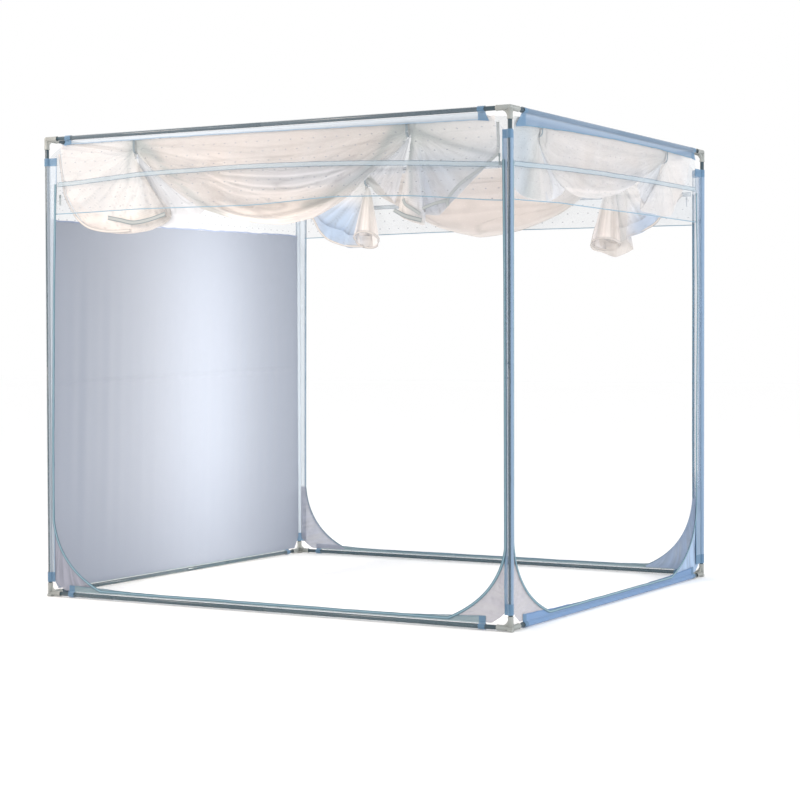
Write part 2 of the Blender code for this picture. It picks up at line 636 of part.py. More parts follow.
def zip_corner(side, end, count):
    """The doorway's lower corner: down the post flap's edge and round to the base rail."""
    gore = GORES[side, end]
    half = SIDES[side]["half"]
    high = BASE_Z + gore["high"]
    start = np.array([flap_edge(side, end, high), high])
    finish = np.array([end * (half - gore["reach"]), NET_LOW + 0.006])
    bend = np.array([end * (half - 0.035 - 0.5 * (half - abs(start[0]))), BASE_Z + 0.105])
    t = np.linspace(0, 1, count)[:, None]
    return start * (1 - t) ** 2 + 2 * bend * t * (1 - t) + finish * t ** 2


def build_gores():
    """The net in each lower corner of a doorway, its own corner cut clear of the joint."""
    for side, end in GORES:
        half = SIDES[side]["half"]
        outer = zip_corner(side, end, CORNER_POINTS)
        # From the post's flap down, across the cut corner, and along the rail's flap.
        corner = np.array([(GORE_POST, outer[0, 1]), *GORE_CORNER, (0.0, NET_LOW)])
        corner[:, 0] = end * (half - corner[:, 0])
        corner[-1, 0] = outer[-1, 0] + end * GORE_LAP
        grid = np.array([corner, (corner + outer) / 2, outer])
        puff = np.array([[0.0], [GORE_PUFF], [0.0]]) * np.sin(np.linspace(0, np.pi, CORNER_POINTS)) ** 2
        place = SIDES[side]["ends"][end > 0]
        sheet(f"gore_{side}_{place}", on_side(side, grid[..., 0], NET_W + puff, grid[..., 1]),
              NET_T, "net")


def build_zips():
    """The zip tape round each doorway, from one post flap down, along the rail and up again."""
    for side in DOORS:
        clear = SIDES[side]["half"] - SLEEVE_OUT - FIT - ZIP_WIDTH / 2
        line = []
        for end in (-1, 1):
            down = np.array([(flap_edge(side, end, z), z) for z in ZIP_HEIGHTS])
            part = np.vstack([down, zip_corner(side, end, CORNER_POINTS)])
            part[:, 0] = end * np.minimum(np.abs(part[:, 0]) + ZIP_WIDTH * ZIP_LAP, clear)
            line.append(part if end < 0 else part[::-1])

        def place(point, lift):
            return on_side(side, point[0], ZIP_W + lift, point[1])

        strip(f"zip_{side}", np.vstack(line), ZIP_WIDTH / 2, TAPE_T / 2, place, "tape")


# ---------------------------------------------------------------- drawn-up doors and ties
def smooth_rows(table, steps):
    """Rows of a table with smooth rows put between them."""
    table = np.asarray(table, float)
    at = np.arange(len(table))
    fine = np.linspace(0, len(table) - 1, (len(table) - 1) * steps + 1)
    k = np.clip(fine.astype(int), 0, len(table) - 2)
    t = (fine - k)[:, None]
    a = table[np.clip(k - 1, 0, at[-1])]
    b, c = table[k], table[k + 1]
    d = table[np.clip(k + 2, 0, at[-1])]
    bend = 0.5 * (2 * b + (c - a) * t + (2 * a - 5 * b + 4 * c - d) * t ** 2
                  + (3 * b - a - 3 * c + d) * t ** 3)
    flat = b + (c - b) * t
    return 0.35 * bend + 0.65 * flat


def door_grid(side, rows=DOOR_ROWS, steps=DOOR_STEPS):
    """A drawn-up door as a grid of points: rows down each fold, columns along the rail.

    Each column is a smooth curve from the rail, through a point half way down that a tie may
    draw in, to the fold's lowest point, and up behind it to where the inner layer ends.
    """
    ties = np.array(TIES[side])
    necks = [(at, at, NECK["low_w"], under, NECK["back_w"], under + NECK["rise"], 1.0)
             for s, under in ties for at in (s - NECK["half"], s + NECK["half"])]
    table = smooth_rows(sorted(list(DOORS[side]) + necks), steps)
    columns = []
    for i, row in enumerate(table):
        f = dict(zip(DOOR_FIELDS, row))
        pull = min(max(f["pull"], 0.0), 1.0)
        tie_s, tie_z = ties[np.argmin(np.abs(ties[:, 0] - f["rail"]))]
        top = np.array([f["rail"], DOOR_W, DOOR_TOP])
        low = np.array([f["low_s"], f["low_w"], f["low_z"]])
        back = np.array([f["low_s"] + 0.1 * (f["rail"] - f["low_s"]), f["back_w"], f["back_z"]])
        free = top + 0.5 * (low - top)
        free[1] = 0.6 * top[1] + 0.4 * low[1]
        beside = max(0.8 * abs(f["rail"] - tie_s), NECK["half"] + 0.001)
        fallen = min(max((tie_z - f["low_z"]) / 0.03, 0.0), 1.0)
        held = np.array([tie_s + math.copysign(beside, f["rail"] - tie_s), 0.018,
                         tie_z + 0.010 - 0.016 * fallen])
        middle = free + pull * (held - free)
        column = curve_through([top, middle, low, back], rows)
        between = ties[0, 0] < f["rail"] < ties[1, 0]
        v = np.linspace(0, 1, rows)
        fade = np.sin(np.pi * v) * (1 - pull)
        if between:
            wave = SWAG_PLEAT * np.sin(2 * np.pi * SWAG_PLEATS * v)
        else:
            wave = TAIL_PLEAT * math.cos(math.pi * i)
        column[:, 1] += wave * fade
        columns.append(column)
    return np.array(columns).transpose(1, 0, 2)


def build_doors():
    """The three doors as they hang when drawn up."""
    for side in DOORS:
        grid = door_grid(side)
        sheet(f"door_{side}", on_side(side, grid[..., 0], grid[..., 1], grid[..., 2]), DOOR_T, "door")


def build_ties():
    """Each ribbon: from the roof seam down before the door, under its bundle and up behind it."""
    for side, places in TIES.items():
        for number, (s, under) in enumerate(places, start=1):
            low = under - TIE_SLACK
            path = np.array([(TIE_W, DOOR_TOP), (TIE_W, low + 0.020), (TIE_W + 0.003, low + 0.008),
                             (TIE_W + 0.014, low), (TIE_BACK - 0.016, low + 0.001),
                             (TIE_BACK - 0.004, low + 0.010), (TIE_BACK, low + 0.022),
                             (TIE_BACK, DOOR_TOP)])

            def place(point, lift):
                return on_side(side, s + lift, point[0], point[1])

            strip(f"tie_{side}_{number}", path, TIE_T / 2, TIE_WIDTH / 2, place, "tie")


def clear_scene():
    """Take away whatever the file opened with."""
    for piece in list(bpy.data.objects):
        bpy.data.objects.remove(piece)


def main():
    """Build every piece of the canopy."""
    clear_scene()
    build_tubes()
    build_joints()
    build_post_sleeves()
    build_rail_sleeves()
    build_bands()
    build_head_panel()
    build_roof()
    build_gores()
    build_zips()
    build_doors()
    build_ties()


main()
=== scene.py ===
# %% [markdown]
# # A mosquito net canopy on a frame of tubes
# The canopy stands by itself. Steel tubes plug into plastic corner joints, sleeves of blue voile
# slide over the tubes, and white mesh is sewn to the sleeves. Three sides open with a zip, and
# here those doors are drawn up and tied under the top rails, where they hang in swags.
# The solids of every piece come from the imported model. This script gives each one its finer form
# and its finish, and it never moves or resizes a solid.

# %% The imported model
import math

import bpy
import numpy as np
from mathutils import Matrix, Vector


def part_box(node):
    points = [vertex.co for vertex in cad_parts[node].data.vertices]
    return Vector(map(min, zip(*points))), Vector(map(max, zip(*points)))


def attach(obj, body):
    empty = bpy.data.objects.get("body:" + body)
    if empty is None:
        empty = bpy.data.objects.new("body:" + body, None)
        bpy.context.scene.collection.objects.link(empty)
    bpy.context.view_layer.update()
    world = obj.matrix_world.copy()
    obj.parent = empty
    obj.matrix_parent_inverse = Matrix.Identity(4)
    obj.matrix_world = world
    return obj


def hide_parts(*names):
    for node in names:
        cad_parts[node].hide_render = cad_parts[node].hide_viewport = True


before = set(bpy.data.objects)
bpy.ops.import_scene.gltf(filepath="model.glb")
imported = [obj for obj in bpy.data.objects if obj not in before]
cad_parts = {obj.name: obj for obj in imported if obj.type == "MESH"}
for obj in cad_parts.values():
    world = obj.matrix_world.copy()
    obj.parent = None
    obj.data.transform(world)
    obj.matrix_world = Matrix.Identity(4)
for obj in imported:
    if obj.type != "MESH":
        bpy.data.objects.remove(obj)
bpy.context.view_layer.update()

print("pieces in the packed model:", len(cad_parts))

# %% [markdown]
# ## The camera
# A catalogue picture like this one is taken from a few metres away with a long lens, so that the
# upright tubes stay nearly parallel. The camera is a little over half way up the canopy and looks
# slightly down, past the corner post between the near side and the foot.

# %% Camera
CAMERA_AT = (3.9204, -6.7874, 0.973)
CAMERA_TURN = math.radians(29.638)     # from the near side's normal, towards the foot
CAMERA_TILT = math.radians(1.608)      # downwards
CAMERA_ROLL = math.radians(-0.175)
LENS = 87.37                           # millimetres
SENSOR = 36.0                          # millimetres across

back = Vector((math.sin(CAMERA_TURN) * math.cos(CAMERA_TILT),
               -math.cos(CAMERA_TURN) * math.cos(CAMERA_TILT), math.sin(CAMERA_TILT)))
right = Vector((math.cos(CAMERA_TURN), math.sin(CAMERA_TURN), 0.0))
turn = Matrix((right, back.cross(right), back)).transposed().to_4x4()
lens = bpy.data.cameras.new("camera")
lens.lens = LENS
lens.sensor_width = SENSOR
camera = bpy.data.objects.new("camera", lens)
camera.matrix_world = Matrix.Translation(CAMERA_AT) @ turn @ Matrix.Rotation(CAMERA_ROLL, 4, "Z")
bpy.context.scene.collection.objects.link(camera)
bpy.context.scene.camera = camera
print("camera", round(Vector(CAMERA_AT).length, 2), "m from the canopy's middle")

# %% [markdown]
# ## Four flat sides
# Almost everything on the canopy belongs to one of its four sides, so each side gets flat
# coordinates of its own: `s` runs along it, `w` runs inwards from the tubes, and `z` is height.
# A piece can then be drawn once and put on any side.

# %% Side coordinates
TUBE_R = 0.008
HALF_X = round(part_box("post_foot_near")[0].x + TUBE_R, 3)      # the post axes are at +-HALF_X
HALF_Y = round(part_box("post_foot_far")[0].y + TUBE_R, 3)       # and at +-HALF_Y
BASE_Z = 0.0125        # the rails' axes
TOP_Z = 1.7745

SIDES = {
    "near": {"at": (0, -HALF_Y), "s": (1, 0), "in": (0, 1), "half": HALF_X,
             "posts": ("head_near", "foot_near")},
    "far": {"at": (0, HALF_Y), "s": (1, 0), "in": (0, -1), "half": HALF_X,
            "posts": ("head_far", "foot_far")},
    "foot": {"at": (HALF_X, 0), "s": (0, 1), "in": (-1, 0), "half": HALF_Y,
             "posts": ("foot_near", "foot_far")},
    "head": {"at": (-HALF_X, 0), "s": (0, 1), "in": (1, 0), "half": HALF_Y,
             "posts": ("head_near", "head_far")},
}
POSTS = {"head_near": (-1, -1), "head_far": (-1, 1), "foot_near": (1, -1), "foot_far": (1, 1)}
DOOR_SIDES = ("near", "far", "foot")


def on_side(side, s, w, z):
    """Points in space: the side's place + s times its direction + w times its inward direction."""
    plan = SIDES[side]
    s, w, z = np.broadcast_arrays(np.asarray(s, float), w, z)
    x = plan["at"][0] + s * plan["s"][0] + w * plan["in"][0]
    y = plan["at"][1] + s * plan["s"][1] + w * plan["in"][1]
    return np.stack([x, y, z], axis=-1)


print("post axes at", HALF_X, HALF_Y)

# %% [markdown]
# ## Surfaces from grids
# Cloth, tubes and tapes are all surfaces with two directions, so one helper turns a grid of
# points into faces. It also writes a UV map in metres, because a woven pattern has to follow the
# cloth at its real size, however the cloth hangs.

# %% Grids into pieces
def cells(grid):
    """The four corners of every cell of a grid, going round the cell."""
    around = [grid[:-1, :-1], grid[:-1, 1:], grid[1:, 1:], grid[1:, :-1]]
    return np.stack(around, axis=2).reshape(-1, 4, *grid.shape[2:])


def steps_along(path):
    """The lengths of a path's steps from point to point."""
    return np.linalg.norm(np.diff(path, axis=0), axis=1)


def shell(points, wrap=False, caps=False, uv=None):
    """One surface: its points, its four-sided faces, its end faces and its UVs.

    Cell (r, c) joins points (r, c), (r, c + 1), (r + 1, c + 1) and (r + 1, c). With wrap the last
    column meets the first, and with caps the first and last rows are closed by a face each.
    Where no UVs are given they are lengths along the middle row and down the middle column.
    """
    rows, columns = points.shape[:2]
    index = np.arange(rows * columns).reshape(rows, columns)
    ends = [index[0][::-1], index[-1]] if caps else []
    closed = points
    if wrap:
        index = np.hstack([index, index[:, :1]])
        closed = np.concatenate([points, points[:, :1]], axis=1)
    if uv is None:
        across = steps_along(closed[rows // 2])
        along = steps_along(points[:, columns // 2])
        uv = np.stack(np.meshgrid(np.r_[0, across.cumsum()], np.r_[0, along.cumsum()]), axis=2)
    spots = np.vstack([cells(uv).reshape(-1, 2), np.zeros((sum(len(e) for e in ends), 2))])
    return points.reshape(-1, 3), cells(index), ends, spots


def piece(name, shells, finish, replaces=()):
    """One object from one or more shells, shaded smooth, that rides on the canopy's one body."""
    faces, start = [], 0
    for points, quads, ends, _ in shells:
        faces += (quads + start).tolist() + [(ring + start).tolist() for ring in ends]
        start += len(points)
    mesh = bpy.data.meshes.new(name)
    mesh.from_pydata(np.vstack([s[0] for s in shells]).tolist(), [], faces)
    layer = mesh.uv_layers.new(name="cut")
    layer.data.foreach_set("uv", np.vstack([s[3] for s in shells]).astype(np.float32).ravel())
    mesh.shade_smooth()
    mesh.materials.append(finish)
    made = bpy.data.objects.new(name, mesh)
    bpy.context.scene.collection.objects.link(made)
    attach(made, "root")
    if replaces:
        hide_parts(*replaces)
    return made


def mark(made, name, values):
    """Store one number for each point of a piece, for its material to read."""
    layer = made.data.attributes.new(name, "FLOAT", "POINT")
    layer.data.foreach_set("value", np.asarray(values, np.float32).ravel())


def unit(vectors):
    """The same vectors with length one."""
    return vectors / np.linalg.norm(vectors, axis=-1, keepdims=True)


def cubic(a, b, c, d, t):
    """The smooth curve from b at t = 0 to c at t = 1, with neighbours a and d.

    It is 0.5 (2b + (c - a) t + (2a - 5b + 4c - d) t^2 + (3b - a - 3c + d) t^3).
    """
    return 0.5 * (2 * b + (c - a) * t + (2 * a - 5 * b + 4 * c - d) * t ** 2
                  + (3 * b - a - 3 * c + d) * t ** 3)


def curve_through(points, count, dense=24):
    """count points spaced evenly on a chain of cubics through the given points."""
    points = np.asarray(points, float)
    padded = np.vstack([2 * points[0] - points[1], points, 2 * points[-1] - points[-2]])
    t = np.linspace(0, 1, dense, endpoint=False)[None, :, None]
    path = cubic(*(padded[k:len(padded) - 3 + k, None] for k in range(4)), t)
    path = np.vstack([path.reshape(-1, points.shape[1]), points[-1:]])
    run = np.r_[0, steps_along(path).cumsum()]
    wanted = np.linspace(0, run[-1], count)
    return np.stack([np.interp(wanted, run, path[:, k]) for k in range(path.shape[1])], axis=1)


def carried(path, section, across):
    """A closed section carried along a path.

    At each point, t is the path's direction, a is the across vector made square to t, and b is
    t x a. The surface is path + section_x a + section_y b, with section_x as its first UV.
    """
    t = unit(np.gradient(path, axis=0))
    across = np.broadcast_to(np.asarray(across, float), path.shape)
    a = unit(across - (across * t).sum(1, keepdims=True) * t)
    b = np.cross(t, a)
    points = (path[:, None] + section[None, :, :1] * a[:, None]
              + section[None, :, 1:2] * b[:, None])
    run = np.r_[0, steps_along(path).cumsum()]
    ring = np.r_[section[:, 0], section[:1, 0]]
    uv = np.stack(np.meshgrid(ring, run), axis=2)
    return shell(points, wrap=True, caps=True, uv=uv)


def rounded_strip(width, thick, count=20, squareness=0.35):
    """A flat section with round edges: x = w/2 sign(cos) |cos|^q, y = t/2 sign(sin) |sin|^q."""
    angle = np.linspace(0, 2 * np.pi, count, endpoint=False) + np.pi / count
    c, s = np.cos(angle), np.sin(angle)
    return np.column_stack([width / 2 * np.sign(c) * np.abs(c) ** squareness,
                            thick / 2 * np.sign(s) * np.abs(s) ** squareness])


def waves(x, seed, longest, count=5):
    """Uneven soft waves between about -1 and 1: sines of falling length with seeded phases."""
    pick = np.random.default_rng(seed)
    total = np.zeros_like(np.asarray(x, float))
    for k in range(count):
        length = longest / (1 + 0.83 * k)
        total = total + np.sin(2 * np.pi * (np.asarray(x) / length + pick.random())) / (1 + 0.5 * k)
    return total / 2.2


print("surface helpers ready")

# %% [markdown]
# ## Colours and nodes
# The colours are written as the hex values that a colour picker shows, and Blender works in
# linear light, so one function converts them. Another adds a node with its settings and links, so
# that each finish below reads as a short list.

# %% Colour and node helpers
def linear(colour):
    """An sRGB hex colour as linear RGBA.

    Each channel c becomes c / 12.92 below 0.04045, and else ((c + 0.055) / 1.055)^2.4.
    """
    parts = [int(colour[k:k + 2], 16) / 255 for k in (1, 3, 5)]
    return (*[p / 12.92 if p <= 0.04045 else ((p + 0.055) / 1.055) ** 2.4 for p in parts], 1.0)


def add(tree, kind, links=None, values=None, **settings):
    """Add a node: settings are its own, values fill its sockets, links join other sockets."""
    made = tree.nodes.new(kind)
    for key, value in settings.items():
        setattr(made, key, value)
    for key, value in (values or {}).items():
        made.inputs[key].default_value = value
    for key, source in (links or {}).items():
        tree.links.new(source, made.inputs[key])
    return made


def new_finish(name, **values):
    """A material with one Principled shader, and that shader's constant values."""
    material = bpy.data.materials.new(name)
    material.use_nodes = True
    tree = material.node_tree
    shader = tree.nodes["Principled BSDF"]
    for key, value in values.items():
        shader.inputs[key.replace("_", " ")].default_value = value
    return material, tree, shader


# %% [markdown]
# ## Mosquito mesh
# The white net is warp-knitted polyester, about forty tiny holes to the square centimetre. At
# this distance single holes can't be seen, only a veil, so the veil comes from the shader's alpha
# and the knit is drawn four millimetres wide, faintly, to give the surface a grain. The maker
# works a small dot into it every fifty millimetres, in staggered rows.

# %% Mesh finish
KNIT = 0.004           # drawn pitch of the knit; the real one is about 1.5 mm
DOT_ACROSS = 0.050
DOT_DOWN = 0.070       # two staggered rows
DOT_R = 0.0036         # drawn size; the real dot is 2 mm across, too fine to show


def dots(tree, uv):
    """A mask of staggered dots: the distance to the nearest of two lattices, under the radius.

    Heights count for more in that distance than widths, so a dot is a short level dash.
    """
    pitch = (DOT_ACROSS, DOT_DOWN, 1.0)
    weighed = (DOT_ACROSS * 0.75, DOT_DOWN * 1.4, 1.0)
    far = []
    for shift in (0.0, 0.5):
        share = add(tree, "ShaderNodeVectorMath", {0: uv}, {1: pitch}, operation="DIVIDE")
        moved = add(tree, "ShaderNodeVectorMath", {0: share.outputs[0]}, {1: (shift, shift, 0)},
                    operation="ADD")
        part = add(tree, "ShaderNodeVectorMath", {0: moved.outputs[0]}, operation="FRACTION")
        middle = add(tree, "ShaderNodeVectorMath", {0: part.outputs[0]}, {1: (0.5, 0.5, 0)},
                     operation="SUBTRACT")
        size = add(tree, "ShaderNodeVectorMath", {0: middle.outputs[0]}, {1: weighed},
                   operation="MULTIPLY")
        far.append(add(tree, "ShaderNodeVectorMath", {0: size.outputs[0]}, operation="LENGTH"))
    near = add(tree, "ShaderNodeMath", {0: far[0].outputs["Value"], 1: far[1].outputs["Value"]},
               operation="MINIMUM")
    return add(tree, "ShaderNodeMapRange", {"Value": near.outputs[0]},
               {"From Min": DOT_R, "From Max": DOT_R * 0.5}).outputs["Result"]


def knitted(name, thread, shade, veil, dense, dot_share):
    """A sheer knit that reads three numbers of its surface.

    gather mixes from the loose thread colour and veil alpha to the gathered ones: the higher alpha
    is the denser cloth, and the darker gathered colour is painted shade. cool mixes in a painted
    blue, which stands in for layers of voile seen through the net and for shade, and adds two
    fifths of it to alpha. fold, from -1 in a crease to 1 on a ridge, scales the colour from 0.60 to
    1.06, which is painted shade in creases and painted highlight on ridges, and adds 0.14 of it to
    alpha.
    """
    material, tree, shader = new_finish(name, Roughness=0.75, Sheen_Weight=0.2, Sheen_Roughness=0.5)
    uv = add(tree, "ShaderNodeUVMap", uv_map="cut").outputs["UV"]
    gather, fold, cool = (add(tree, "ShaderNodeAttribute", attribute_name=kind).outputs["Fac"]
                          for kind in ("gather", "fold", "cool"))
    knit = add(tree, "ShaderNodeTexVoronoi", {"Vector": uv}, {"Scale": 1 / KNIT, "Randomness": 0.3},
               feature="DISTANCE_TO_EDGE", voronoi_dimensions="2D")
    hole = add(tree, "ShaderNodeMapRange", {"Value": knit.outputs["Distance"]},
               {"From Min": 0.05, "From Max": 0.35, "To Min": 1.08, "To Max": 0.92})
    cloud = add(tree, "ShaderNodeTexNoise", {"Vector": uv}, {"Scale": 9.0, "Detail": 3.0})
    uneven = add(tree, "ShaderNodeMapRange", {"Value": cloud.outputs["Fac"]},
                 {"From Min": 0.3, "From Max": 0.7, "To Min": 0.93, "To Max": 1.07})
    # Painted shade: where the cloth is gathered its colour turns to the darker one.
    warm = add(tree, "ShaderNodeMix", {"Factor": gather},
               {"A": linear(thread), "B": linear(shade)}, data_type="RGBA")
    # Painted blue, standing in for voile seen through the net and for shade.
    mixed = add(tree, "ShaderNodeMix", {"Factor": cool, "A": warm.outputs["Result"]},
                {"B": linear(COOL)}, data_type="RGBA")
    # Painted shade in creases and painted highlight on ridges: the fold number scales the colour.
    light = add(tree, "ShaderNodeMapRange", {"Value": fold},
                {"From Min": -1.0, "From Max": 0.4, "To Min": 0.60, "To Max": 1.06})
    lit = add(tree, "ShaderNodeVectorMath", {0: mixed.outputs["Result"],
                                             "Scale": light.outputs["Result"]}, operation="SCALE")
    dotted = add(tree, "ShaderNodeMath", {0: dots(tree, uv)}, {1: dot_share}, operation="MULTIPLY")
    spotted = add(tree, "ShaderNodeMix", {"Factor": dotted.outputs[0], "A": lit.outputs[0]},
                  {"B": linear(DOT)}, data_type="RGBA")
    closed = add(tree, "ShaderNodeMapRange", {"Value": gather}, {"To Min": veil, "To Max": dense})
    grain = add(tree, "ShaderNodeMath", {0: closed.outputs["Result"], 1: hole.outputs["Result"]},
                operation="MULTIPLY")
    patchy = add(tree, "ShaderNodeMath", {0: grain.outputs[0], 1: uneven.outputs["Result"]},
                 operation="MULTIPLY")
    ridged = add(tree, "ShaderNodeMath", {0: fold, 2: patchy.outputs[0]}, {1: 0.14},
                 operation="MULTIPLY_ADD")
    layered = add(tree, "ShaderNodeMath", {0: cool, 2: ridged.outputs[0]}, {1: 0.40},
                  operation="MULTIPLY_ADD")
    alpha = add(tree, "ShaderNodeMath", {0: layered.outputs[0], 1: dotted.outputs[0]},
                operation="ADD", use_clamp=True)
    bump = add(tree, "ShaderNodeBump", {"Height": hole.outputs["Result"]},
               {"Strength": 0.15, "Distance": 0.0004})
    tree.links.new(spotted.outputs["Result"], shader.inputs["Base Color"])
    tree.links.new(alpha.outputs[0], shader.inputs["Alpha"])
    tree.links.new(bump.outputs["Normal"], shader.inputs["Normal"])
    return material


# The painted blue that the cool mark mixes in: it stands in for voile seen through the net, and for
# shade.
COOL = "#9bb8d8"
DOT = "#6b7078"
# The mesh is white. The band, roof and gore finishes draw it a darker blue-grey as painted shade,
# the gores' darkest, and only the doors' finish is near white. The second colour of each is its
# painted shade where gathered.
NET = knitted("polyester_mosquito_mesh", "#bcc2c9", "#b3bac2", 0.25, 0.80, 0.50)
DOOR_NET = knitted("gathered_polyester_mesh", "#f7eee8", "#b1b8b5", 0.56, 0.94, 0.15)
SHADED_GORE_NET = knitted("polyester_mesh_painted_shade", "#92909b", "#92909b", 0.72, 0.85, 0.2)
FOOT_NET = knitted("plain_polyester_mesh", "#bcc2c9", "#b3bac2", 0.28, 0.80, 0.12)

# %% [markdown]
# ## Voile, tape, ribbon and the head panel
# The sleeves are thin blue voile. Stretched in one layer it is pale and sheer, and the more layers
# lie together the deeper its blue. The sleeves have four finishes: the pale sheer one, and three
# darker, bluer copies of it that are painted shade for sleeves that lie in shade. Their ends are
# bound with one more layer. The tapes are flat woven polyester with a darker edge, and the zip tape
# has dark edges beside two rows of coil. The head panel is a dense, slightly shiny satin weave.

# %% Woven finishes
THREAD = 0.0012        # drawn pitch of a plain weave; the real thread is about 0.2 mm
TAPE_THREAD = 0.0016   # drawn pitch of a tape's ribs
STITCH = 0.0045        # drawn length of a stitch and its gap
EDGE_LINE = 0.0035     # how wide the sewn line along a flap's edge is
LINE_ALPHA = 0.80


def woven(name, colour, dark, alpha=1.0, rough=0.7, sheen=0.2, line=None):
    """A plain weave: two sine waves at the thread pitch, crossed, shade the colour and the bump.

    With a line colour, the surface's inset number, its distance from the cloth's edge in metres,
    picks a narrow line that is denser and has that colour. Its layers number scales the alpha,
    from one thin layer stretched over a tube to layers that lie together; on some sleeves that
    number is raised as painted light.
    """
    material, tree, shader = new_finish(name, Roughness=rough, Sheen_Weight=sheen, Alpha=alpha)
    uv = add(tree, "ShaderNodeUVMap", uv_map="cut").outputs["UV"]
    rows = [add(tree, "ShaderNodeTexWave", {"Vector": uv},
                {"Scale": 1 / (THREAD * math.pi), "Distortion": 0.4, "Detail": 1.0},
                bands_direction=way) for way in ("X", "Y")]
    cross = add(tree, "ShaderNodeMath", {0: rows[0].outputs["Fac"], 1: rows[1].outputs["Fac"]},
                operation="MULTIPLY")
    cloud = add(tree, "ShaderNodeTexNoise", {"Vector": uv}, {"Scale": 14.0, "Detail": 4.0})
    both = add(tree, "ShaderNodeMath", {0: cross.outputs[0], 1: cloud.outputs["Fac"]},
               operation="MULTIPLY")
    share = add(tree, "ShaderNodeMath", {0: both.outputs[0]}, {1: 0.5},
                operation="MULTIPLY", use_clamp=True)
    mixed = add(tree, "ShaderNodeMix", {"Factor": share.outputs[0]},
                {"A": linear(colour), "B": linear(dark)}, data_type="RGBA")
    if line:
        inset = add(tree, "ShaderNodeAttribute", attribute_name="inset").outputs["Fac"]
        sewn = add(tree, "ShaderNodeMapRange", {"Value": inset},
                   {"From Min": EDGE_LINE * 1.2, "From Max": EDGE_LINE * 0.8})
        mixed = add(tree, "ShaderNodeMix",
                    {"Factor": sewn.outputs["Result"], "A": mixed.outputs["Result"]},
                    {"B": linear(line)}, data_type="RGBA")
        closed = add(tree, "ShaderNodeMapRange", {"Value": sewn.outputs["Result"]},
                     {"To Min": alpha, "To Max": LINE_ALPHA})
        layers = add(tree, "ShaderNodeAttribute", attribute_name="layers").outputs["Fac"]
        laid = add(tree, "ShaderNodeMath", {0: closed.outputs["Result"], 1: layers},
                   operation="MULTIPLY", use_clamp=True)
        tree.links.new(laid.outputs[0], shader.inputs["Alpha"])
    bump = add(tree, "ShaderNodeBump", {"Height": cross.outputs[0]},
               {"Strength": 0.25, "Distance": 0.0003})
    tree.links.new(mixed.outputs["Result"], shader.inputs["Base Color"])
    tree.links.new(bump.outputs["Normal"], shader.inputs["Normal"])
    return material


def striped(name, middle, edge, half_width, edge_from, alpha=1.0):
    """A narrow tape whose first UV is the distance u from its centre line.

    The edge stripes begin where |u| is the given share of the half width. A row of stitches runs at
    0.75 of it, drawn where the distance along the tape, divided by the stitch length, has a
    fraction below 0.6.
    """
    material, tree, shader = new_finish(name, Roughness=0.65, Sheen_Weight=0.15, Alpha=alpha)
    uv = add(tree, "ShaderNodeUVMap", uv_map="cut")
    split = add(tree, "ShaderNodeSeparateXYZ", {"Vector": uv.outputs["UV"]})
    off = add(tree, "ShaderNodeMath", {0: split.outputs["X"]}, operation="ABSOLUTE")
    share = add(tree, "ShaderNodeMapRange", {"Value": off.outputs[0]},
                {"From Min": half_width * (edge_from - 0.08),
                 "From Max": half_width * (edge_from + 0.08)})
    mixed = add(tree, "ShaderNodeMix", {"Factor": share.outputs["Result"]},
                {"A": linear(middle), "B": linear(edge)}, data_type="RGBA")
    row = add(tree, "ShaderNodeMath", {0: off.outputs[0]}, {1: half_width * 0.75, 2: 0.0006},
              operation="COMPARE")
    step = add(tree, "ShaderNodeMath", {0: split.outputs["Y"]}, {1: STITCH}, operation="DIVIDE")
    part = add(tree, "ShaderNodeMath", {0: step.outputs[0]}, operation="FRACT")
    drawn = add(tree, "ShaderNodeMath", {0: part.outputs[0]}, {1: 0.6}, operation="LESS_THAN")
    stitch = add(tree, "ShaderNodeMath", {0: row.outputs[0], 1: drawn.outputs[0]},
                 operation="MULTIPLY")
    dimmed = add(tree, "ShaderNodeMath", {0: stitch.outputs[0]}, {1: 0.5}, operation="MULTIPLY")
    sewn = add(tree, "ShaderNodeMix", {"Factor": dimmed.outputs[0], "A": mixed.outputs["Result"]},
               {"B": linear(edge)}, data_type="RGBA")
    thread = add(tree, "ShaderNodeTexWave", {"Vector": uv.outputs["UV"]},
                 {"Scale": 1 / (TAPE_THREAD * math.pi), "Distortion": 0.5}, bands_direction="Y")
    bump = add(tree, "ShaderNodeBump", {"Height": thread.outputs["Fac"]},
               {"Strength": 0.3, "Distance": 0.0003})
    tree.links.new(sewn.outputs["Result"], shader.inputs["Base Color"])
    tree.links.new(bump.outputs["Normal"], shader.inputs["Normal"])
    return material


VOILE = woven("blue_polyester_voile", "#c3ced9", "#aebfce", alpha=0.42, line="#93aabf")
# The next three are the same voile drawn darker and bluer: painted shade for sleeves in shade.
GREY_SHADED_VOILE = woven("blue_voile_painted_grey_shade", "#8fa5ad", "#7f969f", alpha=0.60, line="#6f8a97")
SHADED_VOILE = woven("blue_voile_painted_shade", "#849cb6", "#708dac", alpha=0.62, line="#5f8aa6")
DEEP_SHADED_VOILE = woven("blue_voile_painted_deep_shade", "#7598c2", "#6489b5", alpha=0.80, line="#567fae")
BINDING = woven("bound_blue_voile", "#668cac", "#4f789d", alpha=0.66)
SATIN = woven("dense_satin_polyester", "#838b9b", "#767f8d", alpha=0.97, rough=0.5, sheen=0.3)
RIBBON = woven("grosgrain_ribbon", "#5f757d", "#46595f")
TAPE = striped("woven_polyester_tape", "#b4c3cc", "#5b8095", 0.009, 0.80, alpha=0.42)
ZIP = striped("coil_zip_tape", "#86a5b2", "#456a7b", 0.0050, 0.48)
DOOR_ZIP = striped("door_half_of_coil_zip", "#a5aaaa", "#7d888c", 0.007, 0.62)
BACK_ZIP = striped("back_of_door_half_of_zip", "#cfc8c3", "#9da0a1", 0.005, 0.68)
HEM = woven("folded_hem", "#7f9fb2", "#5e7f95", alpha=0.95)
